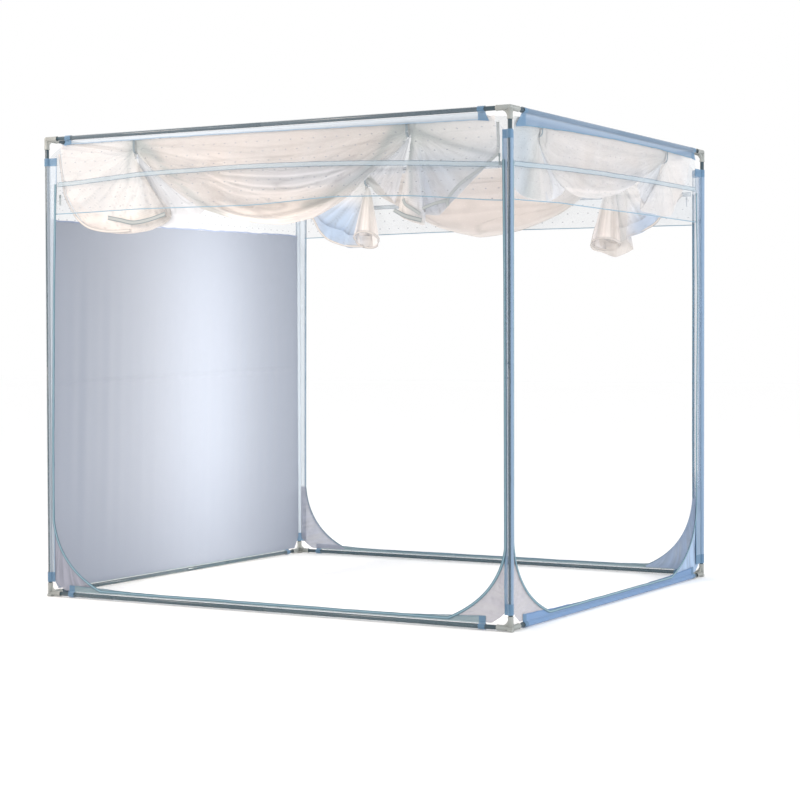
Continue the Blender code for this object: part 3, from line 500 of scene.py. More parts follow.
PANEL_HEM = woven("folded_panel_hem", "#8b98b4", "#7583a4", alpha=0.95)

# %% [markdown]
# ## Steel and plastic
# The tubes are thin-walled steel with a dark blue-grey powder coat, which has a fine, even orange
# peel. The corner joints and the zip pulls are injection-moulded ABS: almost smooth, with a soft
# gloss and faint flow marks.

# %% Hard finishes
def coated(name, colour, second, rough, scale, bumpy, coat=0.0):
    """A smooth hard surface: noise at the given scale varies its colour, gloss and height."""
    material, tree, shader = new_finish(name, Coat_Weight=coat)
    place = add(tree, "ShaderNodeTexCoord").outputs["Object"]
    fine = add(tree, "ShaderNodeTexNoise", {"Vector": place}, {"Scale": scale, "Detail": 4.0})
    broad = add(tree, "ShaderNodeTexNoise", {"Vector": place}, {"Scale": 12.0, "Detail": 3.0})
    mixed = add(tree, "ShaderNodeMix", {"Factor": broad.outputs["Fac"]},
                {"A": linear(colour), "B": linear(second)}, data_type="RGBA")
    gloss = add(tree, "ShaderNodeMapRange", {"Value": broad.outputs["Fac"]},
                {"To Min": rough - 0.08, "To Max": rough + 0.08})
    bump = add(tree, "ShaderNodeBump", {"Height": fine.outputs["Fac"]},
               {"Strength": bumpy, "Distance": 0.0002})
    tree.links.new(mixed.outputs["Result"], shader.inputs["Base Color"])
    tree.links.new(gloss.outputs["Result"], shader.inputs["Roughness"])
    tree.links.new(bump.outputs["Normal"], shader.inputs["Normal"])
    return material


STEEL = coated("powder_coated_steel", "#283d48", "#334852", 0.30, 900.0, 0.25, coat=0.4)
PLASTIC = coated("moulded_grey_abs", "#8f9797", "#a09f99", 0.40, 500.0, 0.12)
TOGGLE = coated("moulded_dark_toggle", "#6d7a7e", "#7c888b", 0.45, 500.0, 0.12)
PULL_PALE = coated("moulded_pale_toggle", "#c9ced2", "#bfc5ca", 0.45, 500.0, 0.12)

# %% [markdown]
# ## Tubes
# A tube is a circle carried along a straight line. Each post is two lengths plugged together, so
# half way up there is a fine step and a round spring button. Their ends are hidden in the joints.

# %% Build the tubes
TUBE_STOP = 0.0123     # a tube ends this far from the corner, inside its socket
TUBE_EASE = 0.0008     # how far its ends are rounded
SEAM = 0.0006          # depth and half width of the groove where its two lengths meet
BUTTONS_Z = (0.862, 0.912)
DIAGONAL = 0.70711


def turned(start, end, profile, sides=32):
    """A turned form: rows of (share of the length, radius), each a circle square to the axis."""
    start, end = np.asarray(start, float), np.asarray(end, float)
    axis = unit(end - start)
    a = unit(np.cross(axis, (0.0, 1.0, 0.0) if abs(axis[1]) < 0.9 else (1.0, 0.0, 0.0)))
    b = np.cross(axis, a)
    angle = np.linspace(0, 2 * np.pi, sides, endpoint=False)
    circle = np.cos(angle)[:, None] * a + np.sin(angle)[:, None] * b
    share, radius = np.asarray(profile, float).T
    return shell(start + share[:, None, None] * (end - start) + radius[:, None, None] * circle,
                 wrap=True, caps=True)


def tube_profile(length):
    """Rounded ends, and a fine groove half way, where the two lengths meet."""
    edge = TUBE_EASE / length
    groove = SEAM / length
    return [(0, TUBE_R - TUBE_EASE), (edge, TUBE_R), (0.5 - groove, TUBE_R), (0.5, TUBE_R - SEAM),
            (0.5 + groove, TUBE_R), (1 - edge, TUBE_R), (1, TUBE_R - TUBE_EASE)]


def build_tubes():
    """Four posts with their spring buttons, and eight rails."""
    for post, (sx, sy) in POSTS.items():
        low = (sx * HALF_X, sy * HALF_Y, BASE_Z + TUBE_STOP)
        high = (sx * HALF_X, sy * HALF_Y, TOP_Z - TUBE_STOP)
        shells = [turned(low, high, tube_profile(high[2] - low[2]))]
        for z in BUTTONS_Z:
            out = np.array([-sx * DIAGONAL, sy * DIAGONAL, 0.0])
            centre = np.array([low[0], low[1], z]) + out * (TUBE_R - 0.0010)
            dome = [(0, 0.0034), (0.4, 0.0034), (0.75, 0.0026), (0.95, 0.0012), (1, 0.0004)]
            shells.append(turned(centre, centre + out * 0.0024, dome, 16))
        piece(f"tube_post_{post}", shells, STEEL, [f"post_{post}"])
    for level, z in (("top", TOP_Z), ("base", BASE_Z)):
        for side, plan in SIDES.items():
            reach = plan["half"] - TUBE_STOP
            ends = on_side(side, np.array([-reach, reach]), 0.0, z)
            piece(f"tube_{level}_{side}", [turned(ends[0], ends[1], tube_profile(2 * reach))],
                  STEEL, [f"rail_{level}_{side}"])


build_tubes()
print("12 tubes")

# %% [markdown]
# ## Corner joints
# One moulded joint holds three tubes: three sockets with a rounded lip, a ball where they meet,
# and a thin web in each upright corner whose free edge is a quarter circle. A mirrored copy of one
# joint fits every corner, so it is drawn once with its sockets along +X, +Y and +Z. Mirroring
# turns a surface inside out, so the faces of an odd number of mirrors are turned back.

# %% Build the joints
SOCKET_R = 0.0098
LIP_R = 0.0104
BORE_R = 0.0083
SOCKET_DEPTH = 0.012   # where the bore stops
ARMS = {(1, 0, 0): 0.052, (0, 1, 0): 0.062, (0, 0, 1): 0.040}      # a socket's direction and length
WEB_R = 0.025          # radius of a web's free edge
WEB_T = 0.006
PAD = 0.020


def socket_shell(way, length):
    """A socket: out along its wall, round its lip, and back down its bore."""
    rows = [(0.0, SOCKET_R), (length - 0.006, SOCKET_R), (length - 0.0048, LIP_R),
            (length - 0.0008, LIP_R), (length, LIP_R - 0.0008), (length, BORE_R + 0.0006),
            (length - 0.0008, BORE_R), (SOCKET_DEPTH, BORE_R)]
    share = [(along / length, radius) for along, radius in rows]
    return turned((0, 0, 0), np.array(way, float) * length, share)


def web_shell(first, second):
    """A web between two sockets: a fan from its root to a quarter circle, with a round edge."""
    first, second = np.array(first, float), np.array(second, float)
    out = np.cross(first, second)
    inner = 0.92 * SOCKET_R + WEB_R
    angle = np.linspace(0, np.pi / 2, 14)
    edge = ((inner - WEB_R * np.sin(angle))[:, None] * first
            + (inner - WEB_R * np.cos(angle))[:, None] * second)
    root = (first + second) * SOCKET_R / 4
    share = np.array([0, 0.5, 0.96, 0.99, 1.0, 1.0, 0.99, 0.96, 0.5, 0])
    lift = np.array([-1, -1, -1, -0.8, -0.35, 0.35, 0.8, 1, 1, 1]) * WEB_T / 2
    points = (root + (edge - root)[:, None] * share[None, :, None] + lift[None, :, None] * out)
    return shell(points[:, ::-1], wrap=True, caps=True)


def ball_shell(radius):
    """A ball: rows from pole to pole, radius sin(a) at height -radius cos(a)."""
    a = np.linspace(0.02, np.pi - 0.02, 15)
    rows = [((1 - math.cos(x)) / 2, radius * math.sin(x)) for x in a]
    return turned((0, 0, -radius), (0, 0, radius), rows)


def pad_shell():
    """The square foot under a base joint, with its edges eased."""
    section = rounded_strip(PAD, PAD, 32, 0.22)
    rows = [(-BASE_Z, 0.94), (-BASE_Z + 0.0007, 1.0), (-0.004, 1.0), (-0.0035, 0.97)]
    points = np.stack([np.column_stack([section * k, np.full(len(section), z)]) for z, k in rows])
    return shell(points, wrap=True, caps=True)


def build_joints():
    """Eight joints: the pattern mirrored into each corner."""
    x, y, z = ARMS
    for level, height, up in (("top", TOP_Z, -1), ("base", BASE_Z, 1)):
        pattern = [socket_shell(way, length) for way, length in ARMS.items()]
        pattern += [web_shell(x, z), web_shell(y, z), ball_shell(SOCKET_R * 1.02)]
        if level == "base":
            pattern.append(pad_shell())
        for post, (sx, sy) in POSTS.items():
            mirror = np.array([-sx, -sy, up], float)
            place = np.array([sx * HALF_X, sy * HALF_Y, height])
            odd = mirror.prod() < 0
            shells = []
            for points, quads, ends, uv in pattern:
                if odd:
                    quads, ends = quads[:, ::-1], [ring[::-1] for ring in ends]
                shells.append((points * mirror + place, quads, ends, uv))
            piece(f"corner_{level}_{post}", shells, PLASTIC, [f"joint_{level}_{post}"])


build_joints()
print("8 corner joints")

# %% [markdown]
# ## Sleeves
# A sleeve is one strip of voile that goes round the tube and is sewn to itself, which leaves flat
# flaps where the nets are sewn on: two on a post, one on a rail. So its section is one line: in
# along a flap, round the tube to the next flap, and out again. The strip is drawn as a grid, that
# section by stations along the tube, and the cloth is a little slack, so it has soft waves.

# %% The flaps' widths
POST_ENDS = (0.057, 1.701)                        # heights of a post sleeve's two ends
SLEEVE_END = 0.095                                # a rail's sleeve ends this far from the corner
FLAP_Z = (POST_ENDS[0], 0.60, 1.20, POST_ENDS[1])
# A post's flap: its width from the tube's axis at each height of FLAP_Z.
FLAP_WIDTHS = {
    ("head_near", "near"): (0.023, 0.024, 0.034, 0.048),
    ("head_near", "head"): (0.020, 0.020, 0.020, 0.020),
    ("head_far", "far"): (0.036, 0.038, 0.042, 0.046),
    ("head_far", "head"): (0.020, 0.020, 0.020, 0.020),
    ("foot_near", "near"): (0.023, 0.023, 0.024, 0.029),
    ("foot_near", "foot"): (0.023, 0.024, 0.025, 0.026),
    ("foot_far", "foot"): (0.064, 0.067, 0.054, 0.078),
    ("foot_far", "far"): (0.040, 0.042, 0.042, 0.044),
}
# A rail's flap: its width at even steps along the sleeve.
TOP_FLAPS = {
    "near": (0.025, 0.024, 0.027, 0.032, 0.037),
    "far": (0.028, 0.026, 0.026, 0.027, 0.030),
    "foot": (0.052, 0.037, 0.029, 0.027, 0.035),
    "head": (0.028, 0.026, 0.026, 0.026, 0.028),
}
BASE_FLAPS = {
    "near": (0.036, 0.026, 0.021, 0.025, 0.020, 0.026, 0.037),
    "far": (0.036, 0.025, 0.020, 0.023, 0.021, 0.024, 0.036),
    "foot": (0.037, 0.029, 0.024, 0.022, 0.024, 0.028, 0.037),
    "head": (0.030, 0.030, 0.030, 0.030, 0.030, 0.030, 0.030),
}

# %% [markdown]
# How blue a sleeve looks depends on its layers. Over the tube it is one thin layer, its flaps are
# two, and some sleeves lap over themselves, so each point carries a share of the finish's alpha.
# The larger shares over the tube, and the lapped faces towards the foot, are partly painted light,
# for the sides of those sleeves that light falls on.

# %% The sleeves' layers
THIN = 0.22            # share of the alpha where one layer is stretched over the tube
LAPPED_AND_LIT = 1.35          # and where a post's strip laps over itself, on its face towards the foot; partly painted light
LAPPED_AND_LIT_HALF = math.radians(55)
PLAIN = (VOILE, THIN, False)
# A sleeve's finish, its share of alpha over the tube, and whether it laps. The finishes other than
# the sheer one are painted shade, and the larger shares and lapped faces are partly painted light.
SLEEVES = {
    "post_head_near": (VOILE, THIN, True), "post_foot_near": (SHADED_VOILE, THIN, True),
    "post_foot_far": (SHADED_VOILE, 1.5, False), "post_head_far": (VOILE, 2.0, False),
    "top_foot": (SHADED_VOILE, 0.9, False), "base_foot": (DEEP_SHADED_VOILE, 1.0, False),
    "base_near": (GREY_SHADED_VOILE, THIN, False), "base_far": (GREY_SHADED_VOILE, THIN, False),
    "base_head": (GREY_SHADED_VOILE, THIN, False),
}
FAR_FLAP_Z = (0.25, 0.45)          # above the gore the far foot post's flap turns to one layer
FAR_FLAP_LAYERS = (1.4, 0.35)

# %% A sleeve's section
RING_R = 0.0101        # the voile's distance from the tube's axis
FLAP_GAP = 0.0004      # half the gap between a flap's two layers
RING_INSET = 0.20      # the mark of a point round the tube, far from any edge line
FLARE_WIDER = 0.25     # a flared end's flap widens by this share of its flare


def strip_section(flaps, widths, t, seed, puff, over, laps_and_lit):
    """The strip's section at each station: an array of stations by points by two axes.

    flaps are angles. The line comes in along flap k at a gap g from its middle, turns round the
    circle of radius r to flap k + 1, and goes out along it. r and the widths have soft waves, and
    puff is added to g and r. The marks are each point's distance from its flap's edge, and its
    share of the voile's alpha.
    """
    gap = FLAP_GAP + puff
    lean = math.asin(gap / RING_R)
    parts, insets, layers = [], [], []
    for k, flap in enumerate(flaps):
        after = flaps[(k + 1) % len(flaps)]
        sweep = (after - flap) % (2 * np.pi) or 2 * np.pi
        for angle, side, rising in ((flap, 1, False), (after, -1, True)):
            way = np.array([math.cos(angle), math.sin(angle)])
            off = np.array([-way[1], way[0]]) * gap * side
            which = flaps.index(angle)
            reach = widths[which] + 0.0010 * waves(t, seed + 7 * which, 0.21)
            share = np.linspace(0, 1, 6)[1:] if rising else np.linspace(1, 0, 6)[:-1]
            along = RING_R + share[None, :] * (reach[:, None] - RING_R)
            sway = (share ** 2)[None, :] * 0.0005 * waves(t, seed + 3 + which, 0.33)[:, None]
            flat = along[..., None] * way + off + sway[..., None] * np.array([-way[1], way[0]])
            if rising:
                angles = flap + lean + np.linspace(0, 1, 22) * (sweep - 2 * lean)
                soft = waves(t, seed + 11, 0.13)[:, None] * np.cos(2 * angles)[None, :]
                slack = 0.0002 * (soft + 1)
                radius = RING_R + puff + slack
                ring = np.stack([radius * np.cos(angles), radius * np.sin(angles)], axis=-1)
                parts.append(ring)
                insets.append(np.full(ring.shape[:2], RING_INSET))
                # Over the tube a point gets the sleeve's share of alpha, and on a lapped face a
                # larger one; both are partly painted light.
                lapped_and_lit = laps_and_lit & (np.cos(angles) > math.cos(LAPPED_AND_LIT_HALF))
                share_here = np.where(lapped_and_lit, LAPPED_AND_LIT, over)
                share_here[[0, -1]] = 1.0
                layers.append(np.broadcast_to(share_here, ring.shape[:2]))
            parts.append(flat)
            insets.append(reach[:, None] - along)
            layers.append(np.ones(flat.shape[:2]))
    marks = {"inset": np.concatenate(insets, axis=1), "layers": np.concatenate(layers, axis=1)}
    return np.concatenate(parts, axis=1), marks


def post_strip(post, low, high, seed, puff=0.0, count=90):
    """The strip round one post between two heights, its marks, and the width it was cut to.

    The far foot post's flaps are one thin layer above the gore and folded over beside it.
    """
    sx, sy = POSTS[post]
    long_side = "near" if sy < 0 else "far"
    end_side = "head" if sx < 0 else "foot"
    along = 0.0 if sx < 0 else np.pi
    inward = np.pi / 2 if sy < 0 else 1.5 * np.pi
    z = np.linspace(low, high, count)
    pairs = sorted([(angle, np.interp(z, FLAP_Z, FLAP_WIDTHS[post, side]))
                    for angle, side in ((along, long_side), (inward, end_side))],
                   key=lambda p: p[0])
    look = SLEEVES.get(f"post_{post}", PLAIN)[1:]
    flat, marks = strip_section([p[0] for p in pairs], [p[1] for p in pairs], z, seed, puff, *look)
    if post == "foot_far":
        on_flap = np.interp(z, FAR_FLAP_Z, FAR_FLAP_LAYERS)[:, None]
        marks["layers"] = np.where(marks["inset"] < RING_INSET, on_flap, marks["layers"])
    points = np.concatenate([flat + np.array([sx * HALF_X, sy * HALF_Y]),
                             np.broadcast_to(z[:, None, None], flat.shape[:2] + (1,))], axis=-1)
    return points, marks, steps_along(flat[count // 2]).sum()


def rail_strip(level, side, low, high, seed, puff=0.0, count=90, flare=0.0, end=0):
    """The strip round one rail between two places along it, its marks, and its cut width.

    With a flare, the strip's last stations lean towards the post: a point moves along the rail by
    flare times its nearness to the end, times (its depth below the tube / 40 mm)^1.5.
    """
    table, axis_z, way = ((TOP_FLAPS, TOP_Z, 1.5 * np.pi) if level == "top"
                          else (BASE_FLAPS, BASE_Z, np.pi / 2))
    reach = SIDES[side]["half"] - SLEEVE_END
    s = np.linspace(low, high, count)
    width = np.interp(s, np.linspace(-reach, reach, len(table[side])), table[side])
    close = np.clip(1 - (reach - np.abs(s)) / CUFF_RAIL, 0, 1) if end else np.zeros(count)
    look = SLEEVES.get(f"{level}_{side}", PLAIN)[1:]
    flat, marks = strip_section([way], [width + FLARE_WIDER * flare * close], s, seed, puff, *look)
    lean = end * flare * close[:, None] * np.clip(np.abs(flat[..., 1]) / LEAN_DEPTH, 0, 1.2) ** 1.5
    points = on_side(side, s[:, None] + lean, flat[..., 0], axis_z + flat[..., 1])
    return points, marks, steps_along(flat[count // 2]).sum()


# %% Build the sleeves and their bound ends
CUFF_PUFF = 0.0004     # a bound end lies this far over the sleeve
CUFF_LOW = 0.038       # length of a post's lower bound end
CUFF_HIGH = 0.030      # of its upper one
CUFF_RAIL = 0.026      # and of a rail's
CUFF_ROWS = 12
LEAN_DEPTH = 0.040
FLARES = {("near", 1): 0.016, ("foot", -1): 0.036, ("near", -1): 0.018, ("foot", 1): 0.020}
FLARE = 0.014          # of the other top rails' ends


def sewn_strip(name, strip, finish, replaces=()):
    """A strip made into a piece of voile, with its marks stored on it."""
    points, marks, width = strip
    made = piece(name, [shell(points)], finish, replaces)
    for kind, values in marks.items():
        mark(made, kind, values)
    return made


def build_sleeves():
    """Twelve sleeves and a bound end at each end of each."""
    seed = 1
    low, high = POST_ENDS
    for post in POSTS:
        seed += 20
        finish = SLEEVES.get(f"post_{post}", PLAIN)[0]
        made = sewn_strip(f"voile_post_{post}", post_strip(post, low, high, seed),
                          finish, [f"sleeve_post_{post}"])
        for end, start, size in (("low", low, CUFF_LOW), ("high", high - CUFF_HIGH, CUFF_HIGH)):
            strip = post_strip(post, start, start + size, seed, CUFF_PUFF, CUFF_ROWS)
            sewn_strip(f"binding_post_{post}_{end}", strip, BINDING)
    for level in ("top", "base"):
        for side, plan in SIDES.items():
            seed += 20
            reach = plan["half"] - SLEEVE_END
            finish = SLEEVES.get(f"{level}_{side}", PLAIN)[0]
            made = sewn_strip(f"voile_{level}_{side}", rail_strip(level, side, -reach, reach, seed),
                              finish, [f"sleeve_{level}_{side}"])
            for end in (-1, 1):
                start, stop = sorted((end * reach, end * (reach - CUFF_RAIL)))
                flare = FLARES.get((side, end), FLARE) if level == "top" else 0.0
                strip = rail_strip(level, side, start, stop, seed, CUFF_PUFF, CUFF_ROWS, flare, end)
                sewn_strip(f"binding_{level}_{side}_{'a' if end < 0 else 'b'}", strip,
                           BINDING)


build_sleeves()
print("12 sleeves with 24 bound ends")

# %% [markdown]
# ## The upper bands
# Under each top rail hangs a band of plain net that stays shut above the door. It is sewn to the
# rail's flap along its top, and to the post flaps at its ends, and its top corners are cut away
# round the joint. A woven tape crosses the near, far and foot bands, and the lower edge is folded
# into a hem a few millimetres wide that shows as a thin blue line.

# %% Build the bands, tapes and hems
NET_W = 0.00165        # the net's place inwards of the tubes' axes
TAPE_W = 0.00015       # and the woven tape's, on the net's outer face
BAND_TOP = 1.757
BAND_LAP = 0.007       # how far it lies over the post flaps
TAPE_WIDTH = 0.018
# Readings along each side: s, the tape's middle height and the lower edge's height.
BANDS = {
    "near": ((-0.95, 1.598, 1.484), (-0.58, 1.621, 1.490), (-0.05, 1.627, 1.484),
             (0.30, 1.620, 1.502), (0.63, 1.606, 1.492), (0.98, 1.584, 1.461)),
    "far": ((-0.96, 1.600, 1.474), (-0.30, 1.606, 1.480), (0.30, 1.608, 1.477),
            (0.96, 1.602, 1.472)),
    "foot": ((-0.88, 1.588, 1.466), (-0.50, 1.601, 1.477), (-0.15, 1.609, 1.478),
             (0.30, 1.614, 1.480), (0.83, 1.615, 1.480)),
    "head": ((-0.89, 1.600, 1.461), (-0.40, 1.604, 1.468), (-0.05, 1.606, 1.473),
             (0.40, 1.606, 1.479), (0.89, 1.604, 1.487)),
}
PHASE = {"near": 0.4, "far": 1.9, "foot": 3.0, "head": 0.9}       # of each side's waves


def smooth_reading(rows, s, column):
    """A reading from a table whose first column is s, rounded off where its rows meet."""
    table = np.asarray(rows, float)
    spread = np.linspace(-0.06, 0.06, 9)
    return np.mean([np.interp(s + k, table[:, 0], table[:, column]) for k in spread], axis=0)


def flap_edge(side, end, z):
    """Where a post's flap ends along a side."""
    post = SIDES[side]["posts"][0 if end < 0 else 1]
    return end * (SIDES[side]["half"] - np.interp(z, FLAP_Z, FLAP_WIDTHS[post, side]))


def band_reach(side, share, z):
    """The band's place along the side: it ends over the post flaps, and above the shoulder its
    corner is cut away in a shallow curve."""
    edge = np.where(share < 0, -flap_edge(side, -1, z), flap_edge(side, 1, z)) + BAND_LAP
    shoulder = POST_ENDS[1] - 0.002
    rise = np.clip((z - shoulder) / (BAND_TOP - shoulder), 0, 1)
    top = SIDES[side]["half"] - SLEEVE_END + 0.002
    return share * (edge + (top - edge) * rise ** 1.35)


def band_depth(side, s, z, share):
    """How far the band stands inwards: nothing at its sewn edges, more where it is loose, with
    long waves along it and finer ones that lean."""
    loose = np.interp(z, (1.47, 1.60, 1.70, BAND_TOP), (1.0, 0.75, 0.3, 0.0))
    fade = np.clip((1 - np.abs(share)) * 6, 0, 1)
    phase = PHASE[side]
    long_wave = 0.0013 * (np.sin(7.3 * s + phase) + 0.6 * np.sin(16.1 * s + 2.3 * phase))
    lean = 0.0006 * np.sin(38 * s + 11 * z + phase) * np.sin(5 * s + 2)
    return NET_W + loose * fade * (long_wave + lean + 0.0021)


def build_band(side):
    """The net band of one side, its tape and its hem."""
    half = SIDES[side]["half"]
    share, down = np.meshgrid(np.linspace(-1, 1, 181), np.linspace(0, 1, 41))
    edge_z = smooth_reading(BANDS[side], share * half, 2)
    if side == "head":
        edge_z = edge_z + 0.0028 * waves(share * half, 4, 0.31)
    z = BAND_TOP + (edge_z - BAND_TOP) * down
    s = band_reach(side, share, z)
    w = band_depth(side, s, z, share)
    uv = np.stack([share * half, z], axis=2)
    made = piece(f"net_band_{side}", [shell(on_side(side, s, w, z), uv=uv)],
                 FOOT_NET if side == "foot" else NET, [f"band_{side}"])
    # Slanting stripes of painted shade and painted highlight on the band's net.
    slant = s + 0.8 * (BAND_TOP - z) * np.sin(2.2 * s + PHASE[side])
    mark(made, "fold", 0.35 * waves(slant, 8, 0.34) * np.clip(down * 4, 0.3, 1))
    hem_s = s[-1, ::2]
    path = on_side(side, hem_s, w[-1, ::2], z[-1, ::2] + 0.001)
    wide, finish = (0.0052, PANEL_HEM) if side == "head" else (0.0034, HEM)
    hem = piece(f"hem_{side}", [carried(path, rounded_strip(wide, 0.0009, 10), (0, 0, 1))],
                finish)
    if side == "head":
        return
    share = np.linspace(-0.988, 0.988, 121)
    tape_z = smooth_reading(BANDS[side], share * half, 1) + 0.0005 * waves(share, 5, 0.3)
    s = band_reach(side, share, tape_z)
    w = band_depth(side, s, tape_z, share) + TAPE_W - NET_W
    path = on_side(side, s, w, tape_z)
    strip = carried(path, rounded_strip(TAPE_WIDTH, 0.0009), (0, 0, 1))
    tape = piece(f"woven_tape_{side}", [strip], TAPE, [f"tape_{side}"])


for side in SIDES:
    build_band(side)
print("4 bands, 3 tapes, 4 hems")

# %% [markdown]
# ## Head panel
# Behind the head is a dense cloth instead of net. It hangs from the band's hem and is only sewn
# along its edges, so it has slow vertical waves, and a crease crosses it where it was folded in
# its bag. The crease is a soft ridge along a nearly level line.

# %% Build the head panel
PANEL_W = 0.0018
PANEL_LOW = 0.0262
CREASE = ((-0.864, 0.826), (0.851, 0.866))        # (s, z) at the crease's two ends
CREASE_HALF = 0.007
CREASE_RISE = 0.0045


def build_head_panel():
    """Depth = slow and fine waves, fading at the edges, + a ridge exp(-(distance / 7 mm)^2)."""
    half = SIDES["head"]["half"]
    share, down = np.meshgrid(np.linspace(-1, 1, 161), np.linspace(0, 1, 161))
    top = smooth_reading(BANDS["head"], share * half, 2) - 0.0006
    s = share * (half - 0.0125 - 0.0345 * np.clip((down - 0.966) / 0.034, 0, 1))
    z = top + (PANEL_LOW - top) * down
    edges = np.clip((1 - np.abs(share)) * 5, 0, 1)
    fade = edges * np.sin(np.pi * down)
    slow = 0.003 * (np.sin(7.3 * (s * 0.8 + 0.1 * down) + 0.9)
                    + 0.6 * np.sin(16.1 * (s * 0.8 + 0.1 * down) + 2.1))
    fine = (0.0010 * np.sin(47 * s + 3 * down) * np.sin(9 * s + 1)
            + 0.0007 * np.sin(83 * s + 4 * down))
    (s0, z0), (s1, z1) = CREASE
    level = z0 + (s - s0) * (z1 - z0) / (s1 - s0)
    crease = CREASE_RISE * np.exp(-((z - level) / CREASE_HALF) ** 2)
    w = PANEL_W + fade * (slow + fine + 0.005) + crease * edges
    made = piece("satin_head_panel", [shell(on_side("head", s, w, z), uv=np.stack([s, z], axis=2))],
                 SATIN, ["head_panel"])


build_head_panel()
print("head panel with its crease")

# %% [markdown]
# ## Roof net
# The roof is one net sewn to the four rail flaps, with its corners cut away. It is a little slack,
# so it sags, and shallow ripples run in from the corners, where the pull is strongest.

# %% Build the roof
ROOF_Z = 1.752
ROOF_SAG = 0.014
ROOF_CUT = 0.095       # its corners are cut away this far from the post
ROOF_TAUT = 0.89       # outside this share of the roof the net is taut


def build_roof():
    """z = top - sag (1 - u^2)(1 - v^2) + ripples along the diagonals that fade at the edges, with
    u and v as shares of the taut net's edge."""
    edge = 0.0026
    u, v = np.meshgrid(np.linspace(-1, 1, 141), np.linspace(-1, 1, 131))
    reach = np.interp(np.abs(v), (0, (HALF_Y - ROOF_CUT) / HALF_Y, 1),
                      (HALF_X - edge, HALF_X - edge, HALF_X - ROOF_CUT))
    x = u * reach
    y = v * (HALF_Y - edge)
    slack_u = np.clip(1 - (u / ROOF_TAUT) ** 2, 0, 1)
    slack_v = np.clip(1 - (v / ROOF_TAUT) ** 2, 0, 1)
    ripple = (0.0012 * np.sin(30 * np.hypot(np.abs(u), np.abs(v)))
              * np.cos(9 * (np.abs(u) - np.abs(v))))
    z = ROOF_Z - ROOF_SAG * slack_u * slack_v + ripple * np.sqrt(slack_u * slack_v)
    points = np.stack([x, y, z], axis=2)
    made = piece("net_roof", [shell(points, uv=points[..., :2])], NET, ["roof_net"])


build_roof()
print("roof net")

# %% [markdown]
# ## Doorway corners and zips
# In each lower corner of a doorway a small net triangle, a gore, stays behind. The zip runs down
# the post's flap, round the gore's curved edge and along the base rail. The curve is a quadratic
# one between the flap and the rail, with its control point near the corner. Level wrinkles cross
# the gore with painted shade and painted highlight along them, and the gore's mesh is drawn dark
# grey as painted shade. Those by the far foot post are painted blue, which stands in for the
# layers of voile seen through them.

# %% Build the gores and zips
NET_LOW = 0.0265       # the nets' lowest edge
ZIP_W = -0.00165       # the zip lies outside the net
ZIP_WIDTH = 0.013      # of the solid
ZIP_FACE = 0.0100      # what shows of the tape beside its sewn-in edges
ZIP_CLEAR = 0.0109 + 0.0003        # from a post's axis to the zip's edge
COIL_OFF = 0.0016      # from the zip's middle to a row of coil
GORES = {              # height, reach along the rail, share of painted blue
    ("near", -1): {"high": 0.285, "reach": 0.250, "cool": 0.1},
    ("near", 1): {"high": 0.270, "reach": 0.245, "cool": 0.0},
    ("far", -1): {"high": 0.300, "reach": 0.250, "cool": 0.2},
    ("far", 1): {"high": 0.315, "reach": 0.252, "cool": 0.6},
    ("foot", -1): {"high": 0.290, "reach": 0.312, "cool": 0.0},
    ("foot", 1): {"high": 0.300, "reach": 0.342, "cool": 0.8},
}
GORE_NAMES = {("near", -1): "near_head", ("near", 1): "near_foot", ("far", -1): "far_head",
              ("far", 1): "far_foot", ("foot", -1): "foot_near", ("foot", 1): "foot_far"}


def zip_corner(side, end, count):
    """The curve p = a (1 - t)^2 + 2 b t (1 - t) + c t^2 from the post's flap to the rail's."""
    gore = GORES[side, end]
    half = SIDES[side]["half"]
    high = BASE_Z + gore["high"]
    a = np.array([flap_edge(side, end, high), high])
    c = np.array([end * (half - gore["reach"]), NET_LOW + 0.006])
    b = np.array([end * (half - 0.035 - 0.5 * (half - abs(a[0]))), BASE_Z + 0.105])
    t = np.linspace(0, 1, count)[:, None]
    return a * (1 - t) ** 2 + 2 * b * t * (1 - t) + c * t ** 2


def build_gore(side, end):
    """A net between the curve and the frame's corner, with level wrinkles and a slight belly."""
    half = SIDES[side]["half"]
    outer = zip_corner(side, end, 61)
    post = 0.0121
    corner = np.array([(post, outer[0, 1]), (post, 0.20), (post, 0.13), (post, 0.072),
                       (0.040, 0.047), (0.072, NET_LOW), (0.13, NET_LOW), (0.20, NET_LOW),
                       (half - abs(outer[-1, 0]) - 0.004, NET_LOW)])
    t = np.linspace(0, 1, 61)
    knots = np.linspace(0, 1, len(corner))
    inner = np.column_stack([np.interp(t, knots, corner[:, 0]), np.interp(t, knots, corner[:, 1])])
    inner[:, 0] = end * (half - inner[:, 0])
    v = np.linspace(0, 1, 21)[:, None]
    s = inner[:, 0] * (1 - v) + outer[:, 0] * v
    z = inner[:, 1] * (1 - v) + outer[:, 1] * v
    fade = np.sin(np.pi * v) * np.sin(np.pi * t)
    w = NET_W + 0.004 * np.sin(np.pi * v) * np.sin(np.pi * t) ** 2
    w = w + fade * 0.0011 * np.sin(34 * t + 3 * v + PHASE[side]) * np.sin(9 * t + 1)
    points = on_side(side, s, w, z)
    points = points if end * (1 if side in ("near", "head") else -1) > 0 else points[:, ::-1]
    made = piece(f"net_gore_{GORE_NAMES[side, end]}", [shell(points)], SHADED_GORE_NET,
                 [f"gore_{GORE_NAMES[side, end]}"])
    # Painted shade and painted highlight along the level wrinkles, and painted blue by the gore's
    # share.
    mark(made, "fold", 0.75 * fade * waves(z - 0.25 * (half - np.abs(s)), 3, 0.075))
    high, reach, cool = GORES[side, end].values()
    mark(made, "cool", np.full(s.shape, cool))


